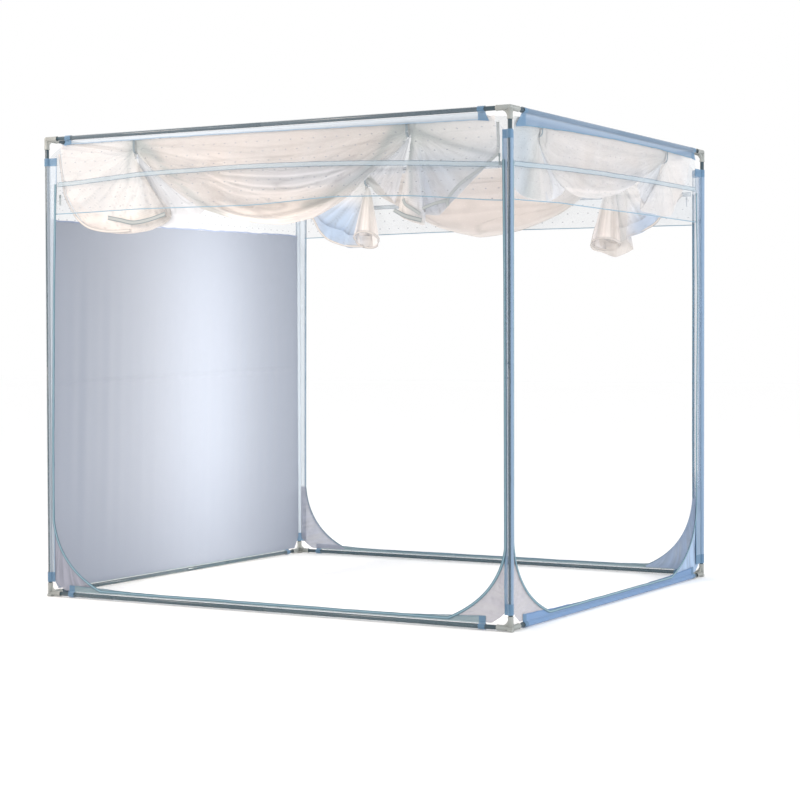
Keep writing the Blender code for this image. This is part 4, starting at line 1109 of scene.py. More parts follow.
def zip_line(side):
    """The whole zip round a doorway: down one flap, round, along the rail, and up the other."""
    clear = SIDES[side]["half"] - ZIP_CLEAR - ZIP_WIDTH / 2
    line = []
    for end in (-1, 1):
        z = np.linspace(1.60, BASE_Z + GORES[side, end]["high"] + 0.02, 40)
        part = np.vstack([np.column_stack([flap_edge(side, end, z), z]), zip_corner(side, end, 40)])
        part[:, 0] = end * np.minimum(np.abs(part[:, 0]) + ZIP_WIDTH * 0.3, clear)
        line.append(part if end < 0 else part[::-1])
    low = np.linspace(line[0][-1], line[1][0], 30)[1:-1]
    low[:, 1] += 0.0008 * waves(low[:, 0], 9, 0.4)
    return np.vstack([line[0], low, line[1]])


def build_zip(side):
    """The zip: a flat tape, and on it two ridges of coil either side of the opening."""
    line = zip_line(side)
    path = on_side(side, line[:, 0], ZIP_W, line[:, 1])
    inward = np.append(SIDES[side]["in"], 0.0)
    outer = np.cross(np.gradient(path, axis=0), inward)
    shells = [carried(path, rounded_strip(ZIP_FACE, 0.0008, 16), outer)]
    ridge = unit(outer)
    for way in (-1, 1):
        shells.append(carried(path + ridge * way * COIL_OFF - inward * 0.0006,
                              rounded_strip(0.0018, 0.0014, 8, 1.0), outer))
    made = piece(f"coil_zip_{side}", shells, ZIP, [f"zip_{side}"])


for side, end in GORES:
    build_gore(side, end)
for side in DOOR_SIDES:
    build_zip(side)
print("6 gores and 3 zips")

# %% [markdown]
# ## The drawn-up doors
# A door is as tall as its doorway. Drawn up, it is folded back and forth and laid in two ribbons,
# so between the ribbons it hangs in a swag, and outside them it falls in a lobe or a tail. Each
# row of the table is one fold: where it leaves the rail, its lowest point, and where its inner
# layer ends. The cloth is a smooth surface through the rows, down each fold and along the rail.
# Two kinds of fold are added to it: between the ties they run level, from tie to tie, and outside
# them they fan out from the tie. Each point carries painted shade and painted highlight for its
# folds. Where the cloth is gathered it is denser, and its darker colour there is painted shade, so
# each point carries how gathered it is.

# %% The doors' tables
DOOR_TOP = 1.7507
DOOR_W = 0.0078
# Each tie's s, and the height of the bundle's underside there.
TIES = {
    "near": ((-0.584, 1.7045), (0.598, 1.7030)),
    "far": ((-0.600, 1.7040), (0.604, 1.7040)),
    "foot": ((-0.637, 1.7030), (0.524, 1.7050)),
}
NECK_HALF = 0.0075     # half the width of the cloth drawn in under a tie
MM = 1000              # DOORS, LINES, FANS and EDGES are in millimetres
# One fold: s at the rail; its lowest point's s, w and z; its inner layer's w and z; and how far
# the tie draws it in, from 0 to 1.
DOORS = {
    "near": (
        (-938, -928, 20, 1571, 28, 1600, 0.00), (-900, -889, 24, 1503, 36, 1545, 0.00),
        (-840, -841, 28, 1449, 46, 1500, 0.00), (-770, -763, 32, 1418, 56, 1475, 0.12),
        (-700, -683, 34, 1408, 62, 1470, 0.35), (-645, -610, 26, 1408, 58, 1480, 0.70),
        (-612, -530, 34, 1420, 62, 1500, 1.00), (-599, -440, 30, 1466, 50, 1530, 1.00),
        (-595, -597, 30, 1640, 42, 1672, 1.00), (-570, -516, 38, 1638, 62, 1692, 1.00),
        (-535, -440, 40, 1572, 80, 1668, 0.70), (-420, -300, 40, 1486, 90, 1645, 0.25),
        (-210, -110, 40, 1431, 94, 1628, 0.00), (30, 60, 40, 1413, 96, 1620, 0.00),
        (240, 205, 40, 1436, 94, 1626, 0.00), (420, 330, 40, 1498, 90, 1645, 0.25),
        (550, 450, 40, 1594, 78, 1672, 0.70), (584, 540, 36, 1652, 60, 1700, 1.00),
        (609, 611, 30, 1640, 42, 1672, 1.00), (613, 551, 30, 1452, 36, 1485, 1.00),
        (624, 600, 20, 1420, 28, 1452, 1.00), (640, 655, 24, 1404, 34, 1436, 1.00),
        (660, 640, 56, 1440, 66, 1470, 0.90), (700, 690, 66, 1436, 78, 1466, 0.55),
        (760, 745, 48, 1468, 60, 1500, 0.15), (850, 848, 32, 1547, 44, 1575, 0.00),
        (938, 946, 22, 1622, 30, 1650, 0.00),
    ),
    "far": (
        (-930, -925, 20, 1604, 28, 1634, 0.00), (-890, -890, 26, 1554, 40, 1600, 0.00),
        (-845, -846, 32, 1494, 50, 1550, 0.05), (-790, -790, 38, 1457, 60, 1520, 0.15),
        (-720, -715, 46, 1434, 68, 1500, 0.40), (-660, -694, 46, 1430, 58, 1480, 0.85),
        (-628, -640, 50, 1432, 60, 1475, 1.00), (-619, -570, 40, 1436, 50, 1470, 1.00),
        (-613, -590, 26, 1440, 34, 1465, 1.00), (-580, -540, 38, 1655, 62, 1700, 1.00),
        (-530, -400, 40, 1582, 80, 1670, 0.60), (-350, -230, 40, 1500, 90, 1645, 0.15),
        (-60, -20, 40, 1449, 96, 1630, 0.00), (200, 180, 40, 1474, 92, 1640, 0.00),
        (420, 370, 40, 1540, 82, 1665, 0.40), (580, 520, 38, 1640, 62, 1700, 1.00),
        (615, 617, 34, 1640, 46, 1672, 1.00), (619, 515, 40, 1412, 50, 1450, 1.00),
        (625, 570, 24, 1380, 32, 1420, 1.00), (634, 630, 40, 1362, 52, 1402, 1.00),
        (650, 700, 26, 1392, 40, 1430, 0.90), (690, 690, 68, 1430, 80, 1470, 0.60),
        (760, 760, 52, 1452, 66, 1500, 0.15), (840, 836, 36, 1520, 50, 1560, 0.00),
        (920, 918, 22, 1602, 30, 1630, 0.00),
    ),
    "foot": (
        (-850, -858, 20, 1548, 28, 1580, 0.00), (-810, -790, 26, 1500, 40, 1550, 0.00),
        (-740, -700, 36, 1488, 56, 1540, 0.25), (-680, -610, 30, 1484, 56, 1540, 0.70),
        (-657, -530, 42, 1482, 60, 1540, 1.00), (-652, -490, 34, 1522, 50, 1570, 1.00),
        (-648, -650, 34, 1640, 46, 1672, 1.00), (-622, -560, 38, 1640, 62, 1690, 1.00),
        (-560, -430, 40, 1556, 80, 1655, 0.60), (-380, -270, 40, 1518, 90, 1640, 0.10),
        (-140, -90, 40, 1520, 94, 1640, 0.00), (100, 80, 40, 1546, 90, 1645, 0.00),
        (300, 250, 40, 1594, 82, 1665, 0.30), (480, 420, 38, 1660, 64, 1700, 0.90),
        (535, 537, 36, 1640, 48, 1672, 1.00), (539, 360, 44, 1512, 56, 1560, 1.00),
        (548, 450, 28, 1500, 40, 1550, 1.00), (570, 550, 44, 1498, 60, 1550, 0.80),
        (630, 640, 34, 1500, 52, 1555, 0.40), (710, 700, 32, 1556, 48, 1600, 0.00),
        (790, 770, 24, 1630, 34, 1662, 0.00),
    ),
}

# %% [markdown]
# On top of the table come the folds that the eye knows a swag by. Each is a line across the cloth,
# pushed in a little, with painted shade along it where its number is below 0 and a painted
# highlight where it is above, and it may gather it. Painted blue stands in for the far layers of
# voile seen through the net, and on the near door for shade.

# %% Main folds and places of painted blue
COOL_SPOTS = {         # middle s and z, half sizes, share of painted blue, in metres
    "far": ((-0.77, 1.52, 0.15, 0.13, 0.80), (0.80, 1.49, 0.11, 0.08, 0.7)),
    "near": ((0.20, 1.585, 0.28, 0.045, 0.28), (0.70, 1.53, 0.10, 0.12, 0.45),
             (0.90, 1.56, 0.10, 0.10, 0.35)),
    "foot": ((0.30, 1.60, 0.20, 0.06, 0.20), (-0.80, 1.60, 0.10, 0.14, 0.30)),
}
# The main folds, in millimetres: half width, fold (painted shade below 0, painted highlight above
# 0), gather, and points (s, z) along the fold.
LINES = {
    "near": (
        (17, -0.25, 0.60, ((-578, 1738), (-498, 1691), (-445, 1632), (-366, 1560), (-288, 1498),
            (-201, 1456))),
        (19, -0.25, 0.65, ((575, 1735), (522, 1700), (444, 1612), (359, 1552), (253, 1499),
            (166, 1478))),
        (10, -0.45, 0.35, ((-598, 1722), (-619, 1688), (-627, 1606))),
        (4, -0.60, 0.00, ((-578, 1703), (-569, 1651), (-579, 1587), (-607, 1527))),
        (14, 0.60, 0.00, ((-581, 1708), (-520, 1610), (-451, 1512))),
        (4, -0.50, 0.00, ((-562, 1698), (-525, 1653), (-498, 1609), (-456, 1538))),
        (4, -0.50, 0.00, ((-551, 1719), (-418, 1687), (-313, 1660), (-200, 1642))),
        (4, -0.45, 0.00, ((-540, 1728), (-380, 1722), (-180, 1716), (9, 1722))),
        (4, -0.50, 0.00, ((-607, 1545), (-645, 1477))),
        (4, -0.45, 0.00, ((-622, 1589), (-666, 1547), (-705, 1479))),
        (4, -0.45, 0.00, ((-574, 1604), (-552, 1542), (-521, 1481))),
        (4, -0.60, 0.00, ((-245, 1713), (9, 1691), (206, 1698), (350, 1710))),
        (4, -0.60, 0.00, ((-245, 1656), (-41, 1658), (157, 1655), (302, 1672), (463, 1692))),
        (4, 0.80, 0.00, ((-214, 1611), (-67, 1595), (83, 1586), (205, 1591), (325, 1602))),
        (5, -0.50, 0.15, ((-200, 1600), (-60, 1583), (90, 1574), (215, 1580), (335, 1599))),
        (4, 0.80, 0.00, ((-179, 1584), (-42, 1557), (107, 1550), (229, 1565), (349, 1597))),
        (4, -0.50, 0.10, ((-170, 1574), (-40, 1547), (107, 1541), (229, 1555))),
        (4, 0.80, 0.00, ((-245, 1604), (-143, 1557), (-17, 1531), (107, 1527), (205, 1546))),
        (4, 0.60, 0.00, ((-246, 1578), (-118, 1526), (8, 1517), (132, 1518), (253, 1545))),
        (5, -0.50, 0.10, ((-246, 1536), (-143, 1506), (-17, 1489), (107, 1492), (200, 1508))),
        (5, -1.30, 0.10, ((-215, 1487), (-185, 1472), (-103, 1451), (-18, 1444), (107, 1456),
            (205, 1480), (290, 1505))),
        (6, 0.60, 0.00, ((-185, 1461), (-103, 1438), (0, 1429), (107, 1438), (220, 1466))),
        (11, -0.60, 0.35, ((598, 1727), (758, 1667), (921, 1621))),
        (20, 0.60, 0.00, ((690, 1668), (800, 1628), (905, 1603))),
        (120, -0.20, 0.45, ((720, 1700), (790, 1620), (850, 1560))),
        (4, -0.70, 0.00, ((655, 1690), (700, 1662), (734, 1634))),
        (11, -0.40, 0.50, ((604, 1724), (602, 1638), (606, 1497))),
        (12, 0.50, 0.00, ((622, 1716), (652, 1597), (656, 1498))),
    ),
    "far": (
        (4, 0.90, 0.00, ((-790, 1480), (-720, 1520), (-680, 1580))),
        (4, 0.70, 0.00, ((700, 1560), (740, 1500), (800, 1470))),
        (100, -0.15, 0.35, ((-350, 1530), (-20, 1480), (300, 1530))),
        (5, -0.60, 0.20, ((-250, 1540), (-20, 1482), (200, 1505))),
    ),
    "foot": (
        (110, -0.35, 0.80, ((-800, 1740), (-750, 1610), (-710, 1500))),
        (5, -0.90, 0.25, ((-593, 1743), (-580, 1710), (-571, 1670))),
        (6, -0.40, 0.15, ((-425, 1736), (136, 1706), (440, 1722))),
        (6, 0.70, 0.00, ((-437, 1534), (-118, 1542), (120, 1562), (268, 1598))),
        (6, -0.50, 0.15, ((363, 1641), (500, 1700), (530, 1725))),
    ),
}


# %% Fold helpers
ROUND = 0.55           # share of the smooth curve in the blend between two rows


def smooth_rows(table, steps):
    """The table's rows with rows between them: a blend of straight lines and smooth cubics."""
    table = np.asarray(table, float)
    fine = np.linspace(0, len(table) - 1, (len(table) - 1) * steps + 1)
    k = np.clip(fine.astype(int), 0, len(table) - 2)
    t = (fine - k)[:, None]
    a, b, c = table[np.clip(k - 1, 0, None)], table[k], table[k + 1]
    d = table[np.clip(k + 2, None, len(table) - 1)]
    return ROUND * cubic(a, b, c, d, t) + (1 - ROUND) * (b + (c - b) * t)


def down_fold(knots, rows):
    """Points down every fold at once: the chain of cubics through its four knots."""
    top, middle, low, back = knots
    padded = np.stack([2 * top - middle, top, middle, low, back, 2 * back - low])
    v = np.linspace(0, 2.9999, rows)
    k = v.astype(int)
    t = (v - k)[:, None, None]
    return cubic(padded[k], padded[k + 1], padded[k + 2], padded[k + 3], t)


def streaks(across, along, rows, columns, seed):
    """Soft noise in long streaks, about from -1 to 1.

    Seeded values stand on a coarse lattice of rows by columns, and between them the noise is
    their blend by t^2 (3 - 2t) each way. A streak is 1/rows wide and 1/columns long.
    """
    values = np.random.default_rng(seed).uniform(-1, 1, (rows + 2, columns + 2))
    y, x = np.clip(across, 0, 1) * rows, np.clip(along, 0, 1) * columns
    j, i = y.astype(int), x.astype(int)
    y, x = y - j, x - i
    y, x = y * y * (3 - 2 * y), x * x * (3 - 2 * x)
    first = values[j, i] * (1 - x) + values[j, i + 1] * x
    second = values[j + 1, i] * (1 - x) + values[j + 1, i + 1] * x
    return first * (1 - y) + second * y


def folds(across, along, counts, seed):
    """Folds from three layers of streaks: the height in -1 to 1, and thin creases from 0 to 1.

    height = 0.7 broad + 0.4 fine, and a crease is exp(-(n / 0.08)^2) where a third noise n
    crosses zero, as where one layer of cloth turns over another.
    """
    broad = streaks(across, along, counts[0], 3, seed)
    fine = streaks(across, along, counts[1], 4, seed + 40)
    crease = np.exp(-(streaks(across, along, counts[2], 3, seed + 80) / 0.08) ** 2)
    return 0.7 * broad + 0.4 * fine, crease


# %% A door's cloth
FOLD_STEPS = 8         # columns from one row of the table to the next
FOLD_ROWS = 140        # points down an outer fold
INNER_ROWS = 48        # points down an inner one
INNER = (0.90, 0.77, 0.64, 0.52, 0.40)            # sizes of the layers inside, as shares


def drawn_lines(side, s, z):
    """What the main folds add to the painted fold shade and highlight and to gather: each adds
    exp(-(d / half width)^2) times its share, where d is the distance to the fold's line."""
    fold, gather = np.zeros(s.shape), np.zeros(s.shape)
    at = np.stack([s, z], axis=-1)
    for half, dark, drawn_in, points in LINES[side]:
        line = curve_through(np.array(points) / MM, 14)
        least = np.full(s.shape, 9.0)
        for a, b in zip(line[:-1], line[1:]):
            t = np.clip(((at - a) @ (b - a)) / ((b - a) @ (b - a)), 0, 1)
            least = np.minimum(least, np.linalg.norm(at - a - t[..., None] * (b - a), axis=-1))
        near = np.exp(-(least / (half / MM)) ** 2)
        fold += dark * near
        gather += drawn_in * near
    return fold, gather


def door_surface(side, inner=None, seed=0):
    """A door's outer fold, or with inner a share of it that lies inside, as (points, marks).

    The four knots of each fold are the rail, a point half way that a tie may draw in, the lowest
    point, and the end of the inner layer. An inner fold is the same with its drop and its depth
    scaled by the share about the fold's middle. Level folds between the ties and spokes round
    each tie are added to its depth. The marks are gather, fold and cool, as for the mesh finish.
    """
    ties = np.array(TIES[side])
    necks = [(at, at, 0.034, under, 0.050, under + 0.025, 1.0)
             for s, under in ties for at in (s - NECK_HALF, s + NECK_HALF)]
    hung = [(*(k / MM for k in row[:6]), row[6]) for row in DOORS[side]]
    table = smooth_rows(sorted(hung + necks), FOLD_STEPS)
    if inner is not None:
        table = table[(table[:, 0] > ties[0, 0] - 0.004) & (table[:, 0] < ties[1, 0] + 0.004)]
    rail, low_s, low_w, low_z, back_w, back_z, pull = table.T
    pull = np.clip(pull, 0, 1)
    which = np.abs(rail[:, None] - ties[:, 0]).argmin(1)
    tie_s, tie_z = ties[which].T
    top = np.column_stack([rail, np.full(len(rail), DOOR_W), np.full(len(rail), DOOR_TOP)])
    low = np.column_stack([low_s, low_w, low_z])
    back = np.column_stack([low_s + 0.1 * (rail - low_s), back_w, back_z])
    free = (top + low) / 2
    free[:, 1] = 0.6 * DOOR_W + 0.4 * low_w
    beside = np.maximum(0.8 * np.abs(rail - tie_s), NECK_HALF + 0.001)
    fallen = np.clip((tie_z - low_z) / 0.03, 0, 1)
    held = np.column_stack([tie_s + np.copysign(beside, rail - tie_s), np.full(len(rail), 0.018),
                            tie_z + 0.010 - 0.016 * fallen])
    middle = free + pull[:, None] * (held - free)
    rows = FOLD_ROWS if inner is None else INNER_ROWS
    points = down_fold([top, middle, low, back], rows)
    v = np.broadcast_to(np.linspace(0, 1, rows)[:, None], points.shape[:2])
    between = (rail > ties[0, 0]) & (rail < ties[1, 0])
    fade = np.sin(np.pi * v) ** 0.8
    along = np.clip((rail - ties[0, 0]) / (ties[1, 0] - ties[0, 0]), 0, 1)
    along = np.broadcast_to(along, points.shape[:2])
    level, level_crease = folds(v + 0.05 * np.sin(2.6 * np.pi * along + seed) * fade, along,
                                (10, 26, 18), 31 + 3 * seed)
    ds, dz = points[..., 0] - tie_s, tie_z + 0.012 - points[..., 2]
    away = np.hypot(ds, dz)
    angle = np.arctan2(ds, np.maximum(dz, 0.003)) / np.pi + 0.5
    spoke, spoke_crease = folds(angle, away / 0.6, (22, 46, 34), 57 + 5 * seed + (side == "near"))
    spread = np.clip(away / 0.10, 0.15, 1) * np.exp(-away / 0.45)
    mix = np.where(between, np.clip(away / 0.16, 0, 1), 0.0)
    height = mix * level * 0.0062 + (1 - mix) * spoke * spread * 0.0052
    crease = mix * level_crease + (1 - mix) * spoke_crease * np.clip(away / 0.06, 0, 1)
    points[..., 1] += (height - 0.0012 * crease) * fade
    soft = 0.5 if side == "foot" else 1.0
    # Painted shade in the creases and painted highlight on the ridges of the folds.
    fold = soft * ((mix * level + (1 - mix) * spoke) * 0.6 - 0.6 * crease)
    if inner is not None:
        points[..., 2] = DOOR_TOP + (points[..., 2] - DOOR_TOP) * (0.25 + 0.75 * inner)
        middle_w = 0.5 * (DOOR_W + back_w)
        points[..., 1] = middle_w + (points[..., 1] - middle_w) * inner
        # A band of painted shade where an inner layer turns at its lowest point.
        fold = fold - 0.9 * np.exp(-((v - 0.67) / 0.022) ** 2)
    strength = np.where(between, 0.5, 0.35) * soft
    gather = (strength * pull ** 1.2 * 0.70
              + soft * 0.5 * np.exp(-(away / 0.07) ** 2) * (pull > 0.02))
    if inner is None:
        drawn, drawn_in = drawn_lines(side, points[..., 0], points[..., 2])
        front = np.clip((0.70 - v) / 0.03, 0, 1)
        points[..., 1] -= 0.0015 * drawn * front * fade
        fold = fold + drawn * front
        gather = gather + drawn_in * front
    # Painted blue in the table's spots.
    cool = np.zeros(points.shape[:2])
    for s, z, wide, tall, share in COOL_SPOTS[side]:
        off = ((points[..., 0] - s) / wide) ** 4 + ((points[..., 2] - z) / tall) ** 4
        cool = cool + share * np.exp(-off)
    return points, {"gather": np.clip(gather, 0, 1), "fold": np.clip(fold * fade, -1, 1),
                    "cool": np.clip(cool, 0, 0.9)}


# %% [markdown]
# Two more forms hang from a tie. A tail is a cone of cloth with a ruffled oval hem, seen on the
# far door, and a fan spreads from the tie into the gap between a lobe and the swag.

# %% Tails and fans
# name: side, top (s, w, z), hem's middle (s, w, z), hem's half sizes (s, w), rise inwards
TAILS = {
    "far_1": ("far", (-0.598, 0.036, 1.690), (-0.580, 0.080, 1.454), (0.062, 0.034), 0.036),
    "far_2": ("far", (0.604, 0.036, 1.690), (0.592, 0.060, 1.402), (0.062, 0.032), 0.024),
}
# A fan of cloth between a lobe and the swag: side, tie, and its hem's points (s, w, z) in
# millimetres.
FANS = (
    ("near", 0, ((-540, 36, 1420), (-470, 40, 1424), (-400, 44, 1432),
                 (-330, 48, 1452), (-270, 50, 1500), (-240, 50, 1560))),
    ("near", 1, ((420, 46, 1580), (470, 46, 1530), (530, 42, 1470))),
    ("foot", 0, ((-530, 40, 1480), (-440, 42, 1500), (-350, 44, 1540))),
    ("foot", 1, ((300, 44, 1600), (360, 44, 1545), (430, 40, 1505))),
)


def fan_surface(side, which, hem, rows=50, columns=70):
    """Cloth that fans out from a tie: p = tie + (hem - tie) t, with folds that widen with t."""
    s, under = TIES[side][which]
    tie = np.array([s, 0.028, under - 0.004])
    edge = curve_through(np.array(hem) / MM, columns)
    t = np.linspace(0.02, 1, rows)[:, None]
    points = tie + (edge - tie)[None] * t[..., None]
    u = np.broadcast_to(np.linspace(0, 1, columns), (rows, columns))
    t = np.broadcast_to(t, u.shape)
    height, crease = folds(u, t, (7, 15, 10), 90 + which)
    points[..., 1] += 0.006 * height * t
    # Painted shade at the creases, painted highlight on the ridges and painted blue over the fan.
    marks = {"gather": 0.5 * (1 - t) ** 1.2, "cool": np.full(u.shape, 0.30),
             "fold": np.clip(0.45 * height - 0.6 * crease - 0.1, -1, 1)}
    return points, marks


def tail_surface(top, low, half, rise, rows=60, columns=96):
    """A tail of cloth that opens like a cone from its tie to an oval hem.

    Row t of the way down is an oval of half size r (1 + ruffles), where r grows as t^0.8, and the
    ruffles are sines of 5 and 9 times the angle that grow down the tail.
    """
    t, a = np.meshgrid(np.linspace(0, 1, rows), np.linspace(0, 2 * np.pi, columns), indexing="ij")
    grow = 0.14 + 0.86 * t ** 0.8
    ruffle = 1 + t * (0.05 * np.sin(5 * a + 1.0) + 0.03 * np.sin(9 * a + 2.0))
    s = top[0] + (low[0] - top[0]) * t + half[0] * grow * ruffle * np.cos(a)
    w = top[1] + (low[1] - top[1]) * t + half[1] * grow * ruffle * np.sin(a)
    z = top[2] + (low[2] - top[2]) * t + rise * t * np.sin(a)
    # Painted shade and highlight along the ruffles, and painted blue on one side, growing towards
    # the hem.
    fold = 0.8 * np.sin(5 * a + 1.0) + 0.5 * waves(a, 6, 1.1)
    marks = {"gather": 0.55 * (1 - t) ** 1.5, "fold": np.clip(fold, -1, 1) * (0.3 + 0.7 * t),
             "cool": 0.15 * t * (np.cos(a - 0.4) < -0.2)}
    return np.stack([s, w, z], axis=2), marks


# %% Build the doors
def build_door(side):
    """One drawn-up door: its outer fold, the folds that lie inside the swag, and its tails."""
    parts = [door_surface(side, inner, layer) for layer, inner in enumerate((None, *INNER))]
    parts += [tail_surface(*tail[1:]) for tail in TAILS.values() if tail[0] == side]
    parts += [fan_surface(*fan) for fan in FANS if fan[0] == side]
    shells = [shell(on_side(side, *np.moveaxis(points, -1, 0))) for points, _ in parts]
    made = piece(f"net_door_{side}", shells, DOOR_NET, [f"door_{side}"])
    for kind in ("gather", "fold", "cool"):
        mark(made, kind, np.concatenate([marks[kind].ravel() for _, marks in parts]))
    return made


for side in DOOR_SIDES:
    made = build_door(side)
    area = sum(p.area for p in made.data.polygons)
    print("door", side, round(area, 3), "square metres of cloth,", len(made.data.polygons), "faces")

# %% [markdown]
# ## The doors' zipped edges
# The other half of each zip is sewn round the door itself, so it shows wherever the door's edge
# comes to the front of the bundle. Each stretch is a narrow tape laid just in front of the cloth.

# %% Build the zipped edges
EDGE_THICK = 0.0009
HEM_WIDTH = 0.009      # drawn width of the tape round a tail's hem
# name: side, width, points (s, w, z), in millimetres
EDGES = {
    "near_lobe": ("near", 10, (
        (-948, 10, 1716), (-939, 11, 1656), (-930, 12, 1592), (-924, 14, 1556), (-896, 16, 1504),
        (-866, 17, 1465), (-833, 18, 1440), (-799, 20, 1425), (-736, 22, 1413), (-674, 23, 1411),
        (-616, 22, 1413))),
    "near_smile": ("near", 16, (
        (-716, 13, 1463), (-659, 12, 1453), (-597, 12, 1441), (-522, 12, 1449),
        (-447, 14, 1468))),
    "near_slant": ("near", 11, (
        (949, 10, 1729), (950, 11, 1632), (935, 11, 1612), (876, 12, 1570), (803, 14, 1526),
        (756, 16, 1480), (751, 18, 1452))),
    "near_tail_back": ("near", 14, (
        (538, 18, 1447), (586, 16, 1424), (650, 15, 1407))),
    "near_tail_front": ("near", 11, (
        (578, 13, 1484), (588, 13, 1464), (612, 13, 1450), (645, 14, 1429))),
    "near_tail_side": ("near", 11, (
        (653, 16, 1447), (701, 16, 1463), (752, 18, 1472))),
    "far_lobe_head": ("far", 10, (
        (-930, 22, 1600), (-896, 30, 1560), (-852, 38, 1498), (-795, 44, 1458), (-700, 54, 1431),
        (-610, 58, 1426))),
    "far_lobe_foot": ("far", 10, (
        (922, 24, 1600), (838, 40, 1517), (809, 48, 1482), (766, 56, 1459), (700, 74, 1436))),
}


def build_edges():
    """A hem follows the last row of its tail, and an edge is a strip carried along its curve."""
    for name, (side, *shape) in TAILS.items():
        path = on_side(side, *tail_surface(*shape)[0][-1].T)
        section = rounded_strip(HEM_WIDTH, EDGE_THICK, 12)
        hem = piece(f"zip_hem_{name}", [carried(path, section, (0, 0, 1))], BACK_ZIP)
    for name, (side, width, places) in EDGES.items():
        width = width / MM
        line = curve_through(np.array(places) / MM, 60)
        path = on_side(side, line[:, 0], line[:, 1], line[:, 2])
        inward = np.append(SIDES[side]["in"], 0.0)
        across = np.cross(np.gradient(path, axis=0), inward)
        finish = BACK_ZIP if "lobe" in name else DOOR_ZIP
        section = rounded_strip(width, EDGE_THICK, 16)
        made = piece(f"zip_edge_{name}", [carried(path, section, across)], finish)


build_edges()
print(len(EDGES), "zipped edges")

# %% [markdown]
# ## Zip pulls
# With the doors drawn up, each zip's two sliders wait at the top of the doorway. A slider is a
# small moulded block that grips the coil, and its pull is a flat rounded tab that hangs from it.

# %% Build the zip pulls
# side, end, distance from the side's middle, height, w, finish
PULLS = (
    ("near", -1, 0.934, 1.552, -0.0044, TOGGLE), ("near", 1, 0.962, 1.615, -0.0044, TOGGLE),
    ("far", -1, 0.930, 1.585, -0.0044, PULL_PALE), ("far", 1, 0.930, 1.585, -0.0044, PULL_PALE),
    ("foot", -1, 0.868, 1.560, 0.0060, PULL_PALE), ("foot", 1, 0.884, 1.488, 0.0060, TOGGLE),
)


def build_pulls():
    """A block and a tab at each end of each doorway: sections carried down short lines."""
    for side, end, away, high, w, finish in PULLS:
        block = on_side(side, end * away, w, high + np.linspace(0.006, -0.006, 5))
        tab = on_side(side, end * away, w, high + np.linspace(-0.004, -0.034, 9))
        along = np.append(SIDES[side]["s"], 0.0)
        piece(f"zip_pull_{side}_{'a' if end < 0 else 'b'}",
              [carried(block, rounded_strip(0.0070, 0.0034, 16), along),
               carried(tab, rounded_strip(0.0046, 0.0016, 16, 0.6), along)], finish)


build_pulls()
print(len(PULLS), "zip pulls")

# %% [markdown]
# ## Ribbons
# Each door is held by two ribbons sewn to the roof's seam. A ribbon comes down in front of the
# bundle, passes under it and goes up behind, so it is a strip carried round a narrow loop.

# %% Build the ribbons
TIE_W = 0.0038         # the loop's front
TIE_BACK = 0.060
RIBBON_WIDTH = 0.010


def build_ribbons():
    """The loop's points in (w, z), made smooth, and a strip carried round it."""
    for side, places in TIES.items():
        for number, (s, under) in enumerate(places, start=1):
            low = under - 0.0045
            loop = np.array([(TIE_W, DOOR_TOP), (TIE_W, low + 0.020), (TIE_W + 0.003, low + 0.008),
                             (TIE_W + 0.014, low), (TIE_BACK - 0.016, low + 0.001),
                             (TIE_BACK - 0.004, low + 0.010), (TIE_BACK, low + 0.022),
                             (TIE_BACK, DOOR_TOP)])
            line = curve_through(loop, 60)
            path = on_side(side, s, line[:, 0], line[:, 1])
            along = np.append(SIDES[side]["s"], 0.0)
            strip = carried(path, rounded_strip(RIBBON_WIDTH, 0.0010, 14), along)
            made = piece(f"ribbon_{side}_{number}", [strip], RIBBON,
                         [f"tie_{side}_{number}"])


build_ribbons()
print("6 ribbons")

# %% [markdown]
# ## Floor and light
# A plain pale floor and soft white light, as in a studio with white walls: the sky of the scene is
# white, one large warm lamp stands to the left in front, a spot is aimed at the near swag, a cool
# lamp fills from the foot, and a narrow one inside lights the head panel, brightest in its middle.

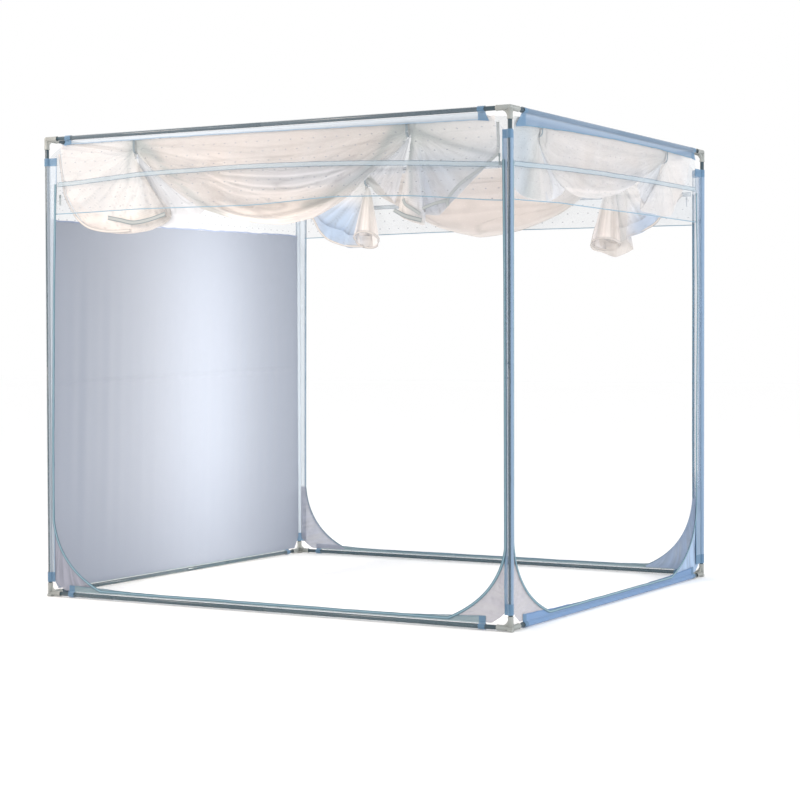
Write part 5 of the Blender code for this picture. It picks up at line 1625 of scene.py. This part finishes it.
# %% Floor, sky and lamps
FLOOR = 40.0           # half its side
FLOOR_Z = -0.0005
floor_mesh = bpy.data.meshes.new("floor")
corners = ((-1, -1), (1, -1), (1, 1), (-1, 1))
floor_mesh.from_pydata([(x * FLOOR, y * FLOOR, FLOOR_Z) for x, y in corners], [], [(0, 1, 2, 3)])
floor = bpy.data.objects.new("floor", floor_mesh)
bpy.context.scene.collection.objects.link(floor)
floor_finish, _, floor_shader = new_finish("matt_white_floor", Roughness=0.9)
floor_shader.inputs["Base Color"].default_value = linear("#ffffff")
floor_mesh.materials.append(floor_finish)

world = bpy.data.worlds.new("studio")
world.use_nodes = True
sky = world.node_tree.nodes["Background"]
sky.inputs["Color"].default_value = (1.0, 1.0, 1.0, 1.0)
sky.inputs["Strength"].default_value = 1.0
bpy.context.scene.world = world


def lamp(name, kind, at, towards, watts, **settings):
    """A lamp at one point that looks at another."""
    light = bpy.data.lights.new(name, kind)
    light.energy = watts
    for key, value in settings.items():
        setattr(light, key, value)
    made = bpy.data.objects.new(name, light)
    aim = (Vector(towards) - Vector(at)).to_track_quat("-Z", "Y").to_matrix().to_4x4()
    made.matrix_world = Matrix.Translation(at) @ aim
    made.visible_camera = False
    bpy.context.scene.collection.objects.link(made)


lamp("key", "AREA", (-2.0, -2.8, 2.9), (-0.55, -0.9, 1.5), 60.0, size=1.4, color=(1.0, 0.85, 0.74))
lamp("front", "SPOT", (-0.45, -3.4, 2.3), (-0.20, -0.9, 1.69), 64.0, spot_size=math.radians(30),
     spot_blend=0.8, shadow_soft_size=0.4, color=(1.0, 0.94, 0.90))
lamp("fill", "AREA", (5.0, -0.8, 2.3), (0.9, 0.0, 1.5), 95.0, size=2.5, color=(0.93, 0.96, 1.0))
lamp("panel_glow", "AREA", (-0.46, 0.16, 0.90), (-1.0, 0.16, 0.90), 11.6, shape="RECTANGLE",
     size=0.06, size_y=1.50, color=(1.0, 0.92, 0.80))

scene = bpy.context.scene
scene.view_settings.view_transform = "Standard"
scene.cycles.transparent_max_bounces = 64
print("floor, sky and lamps")
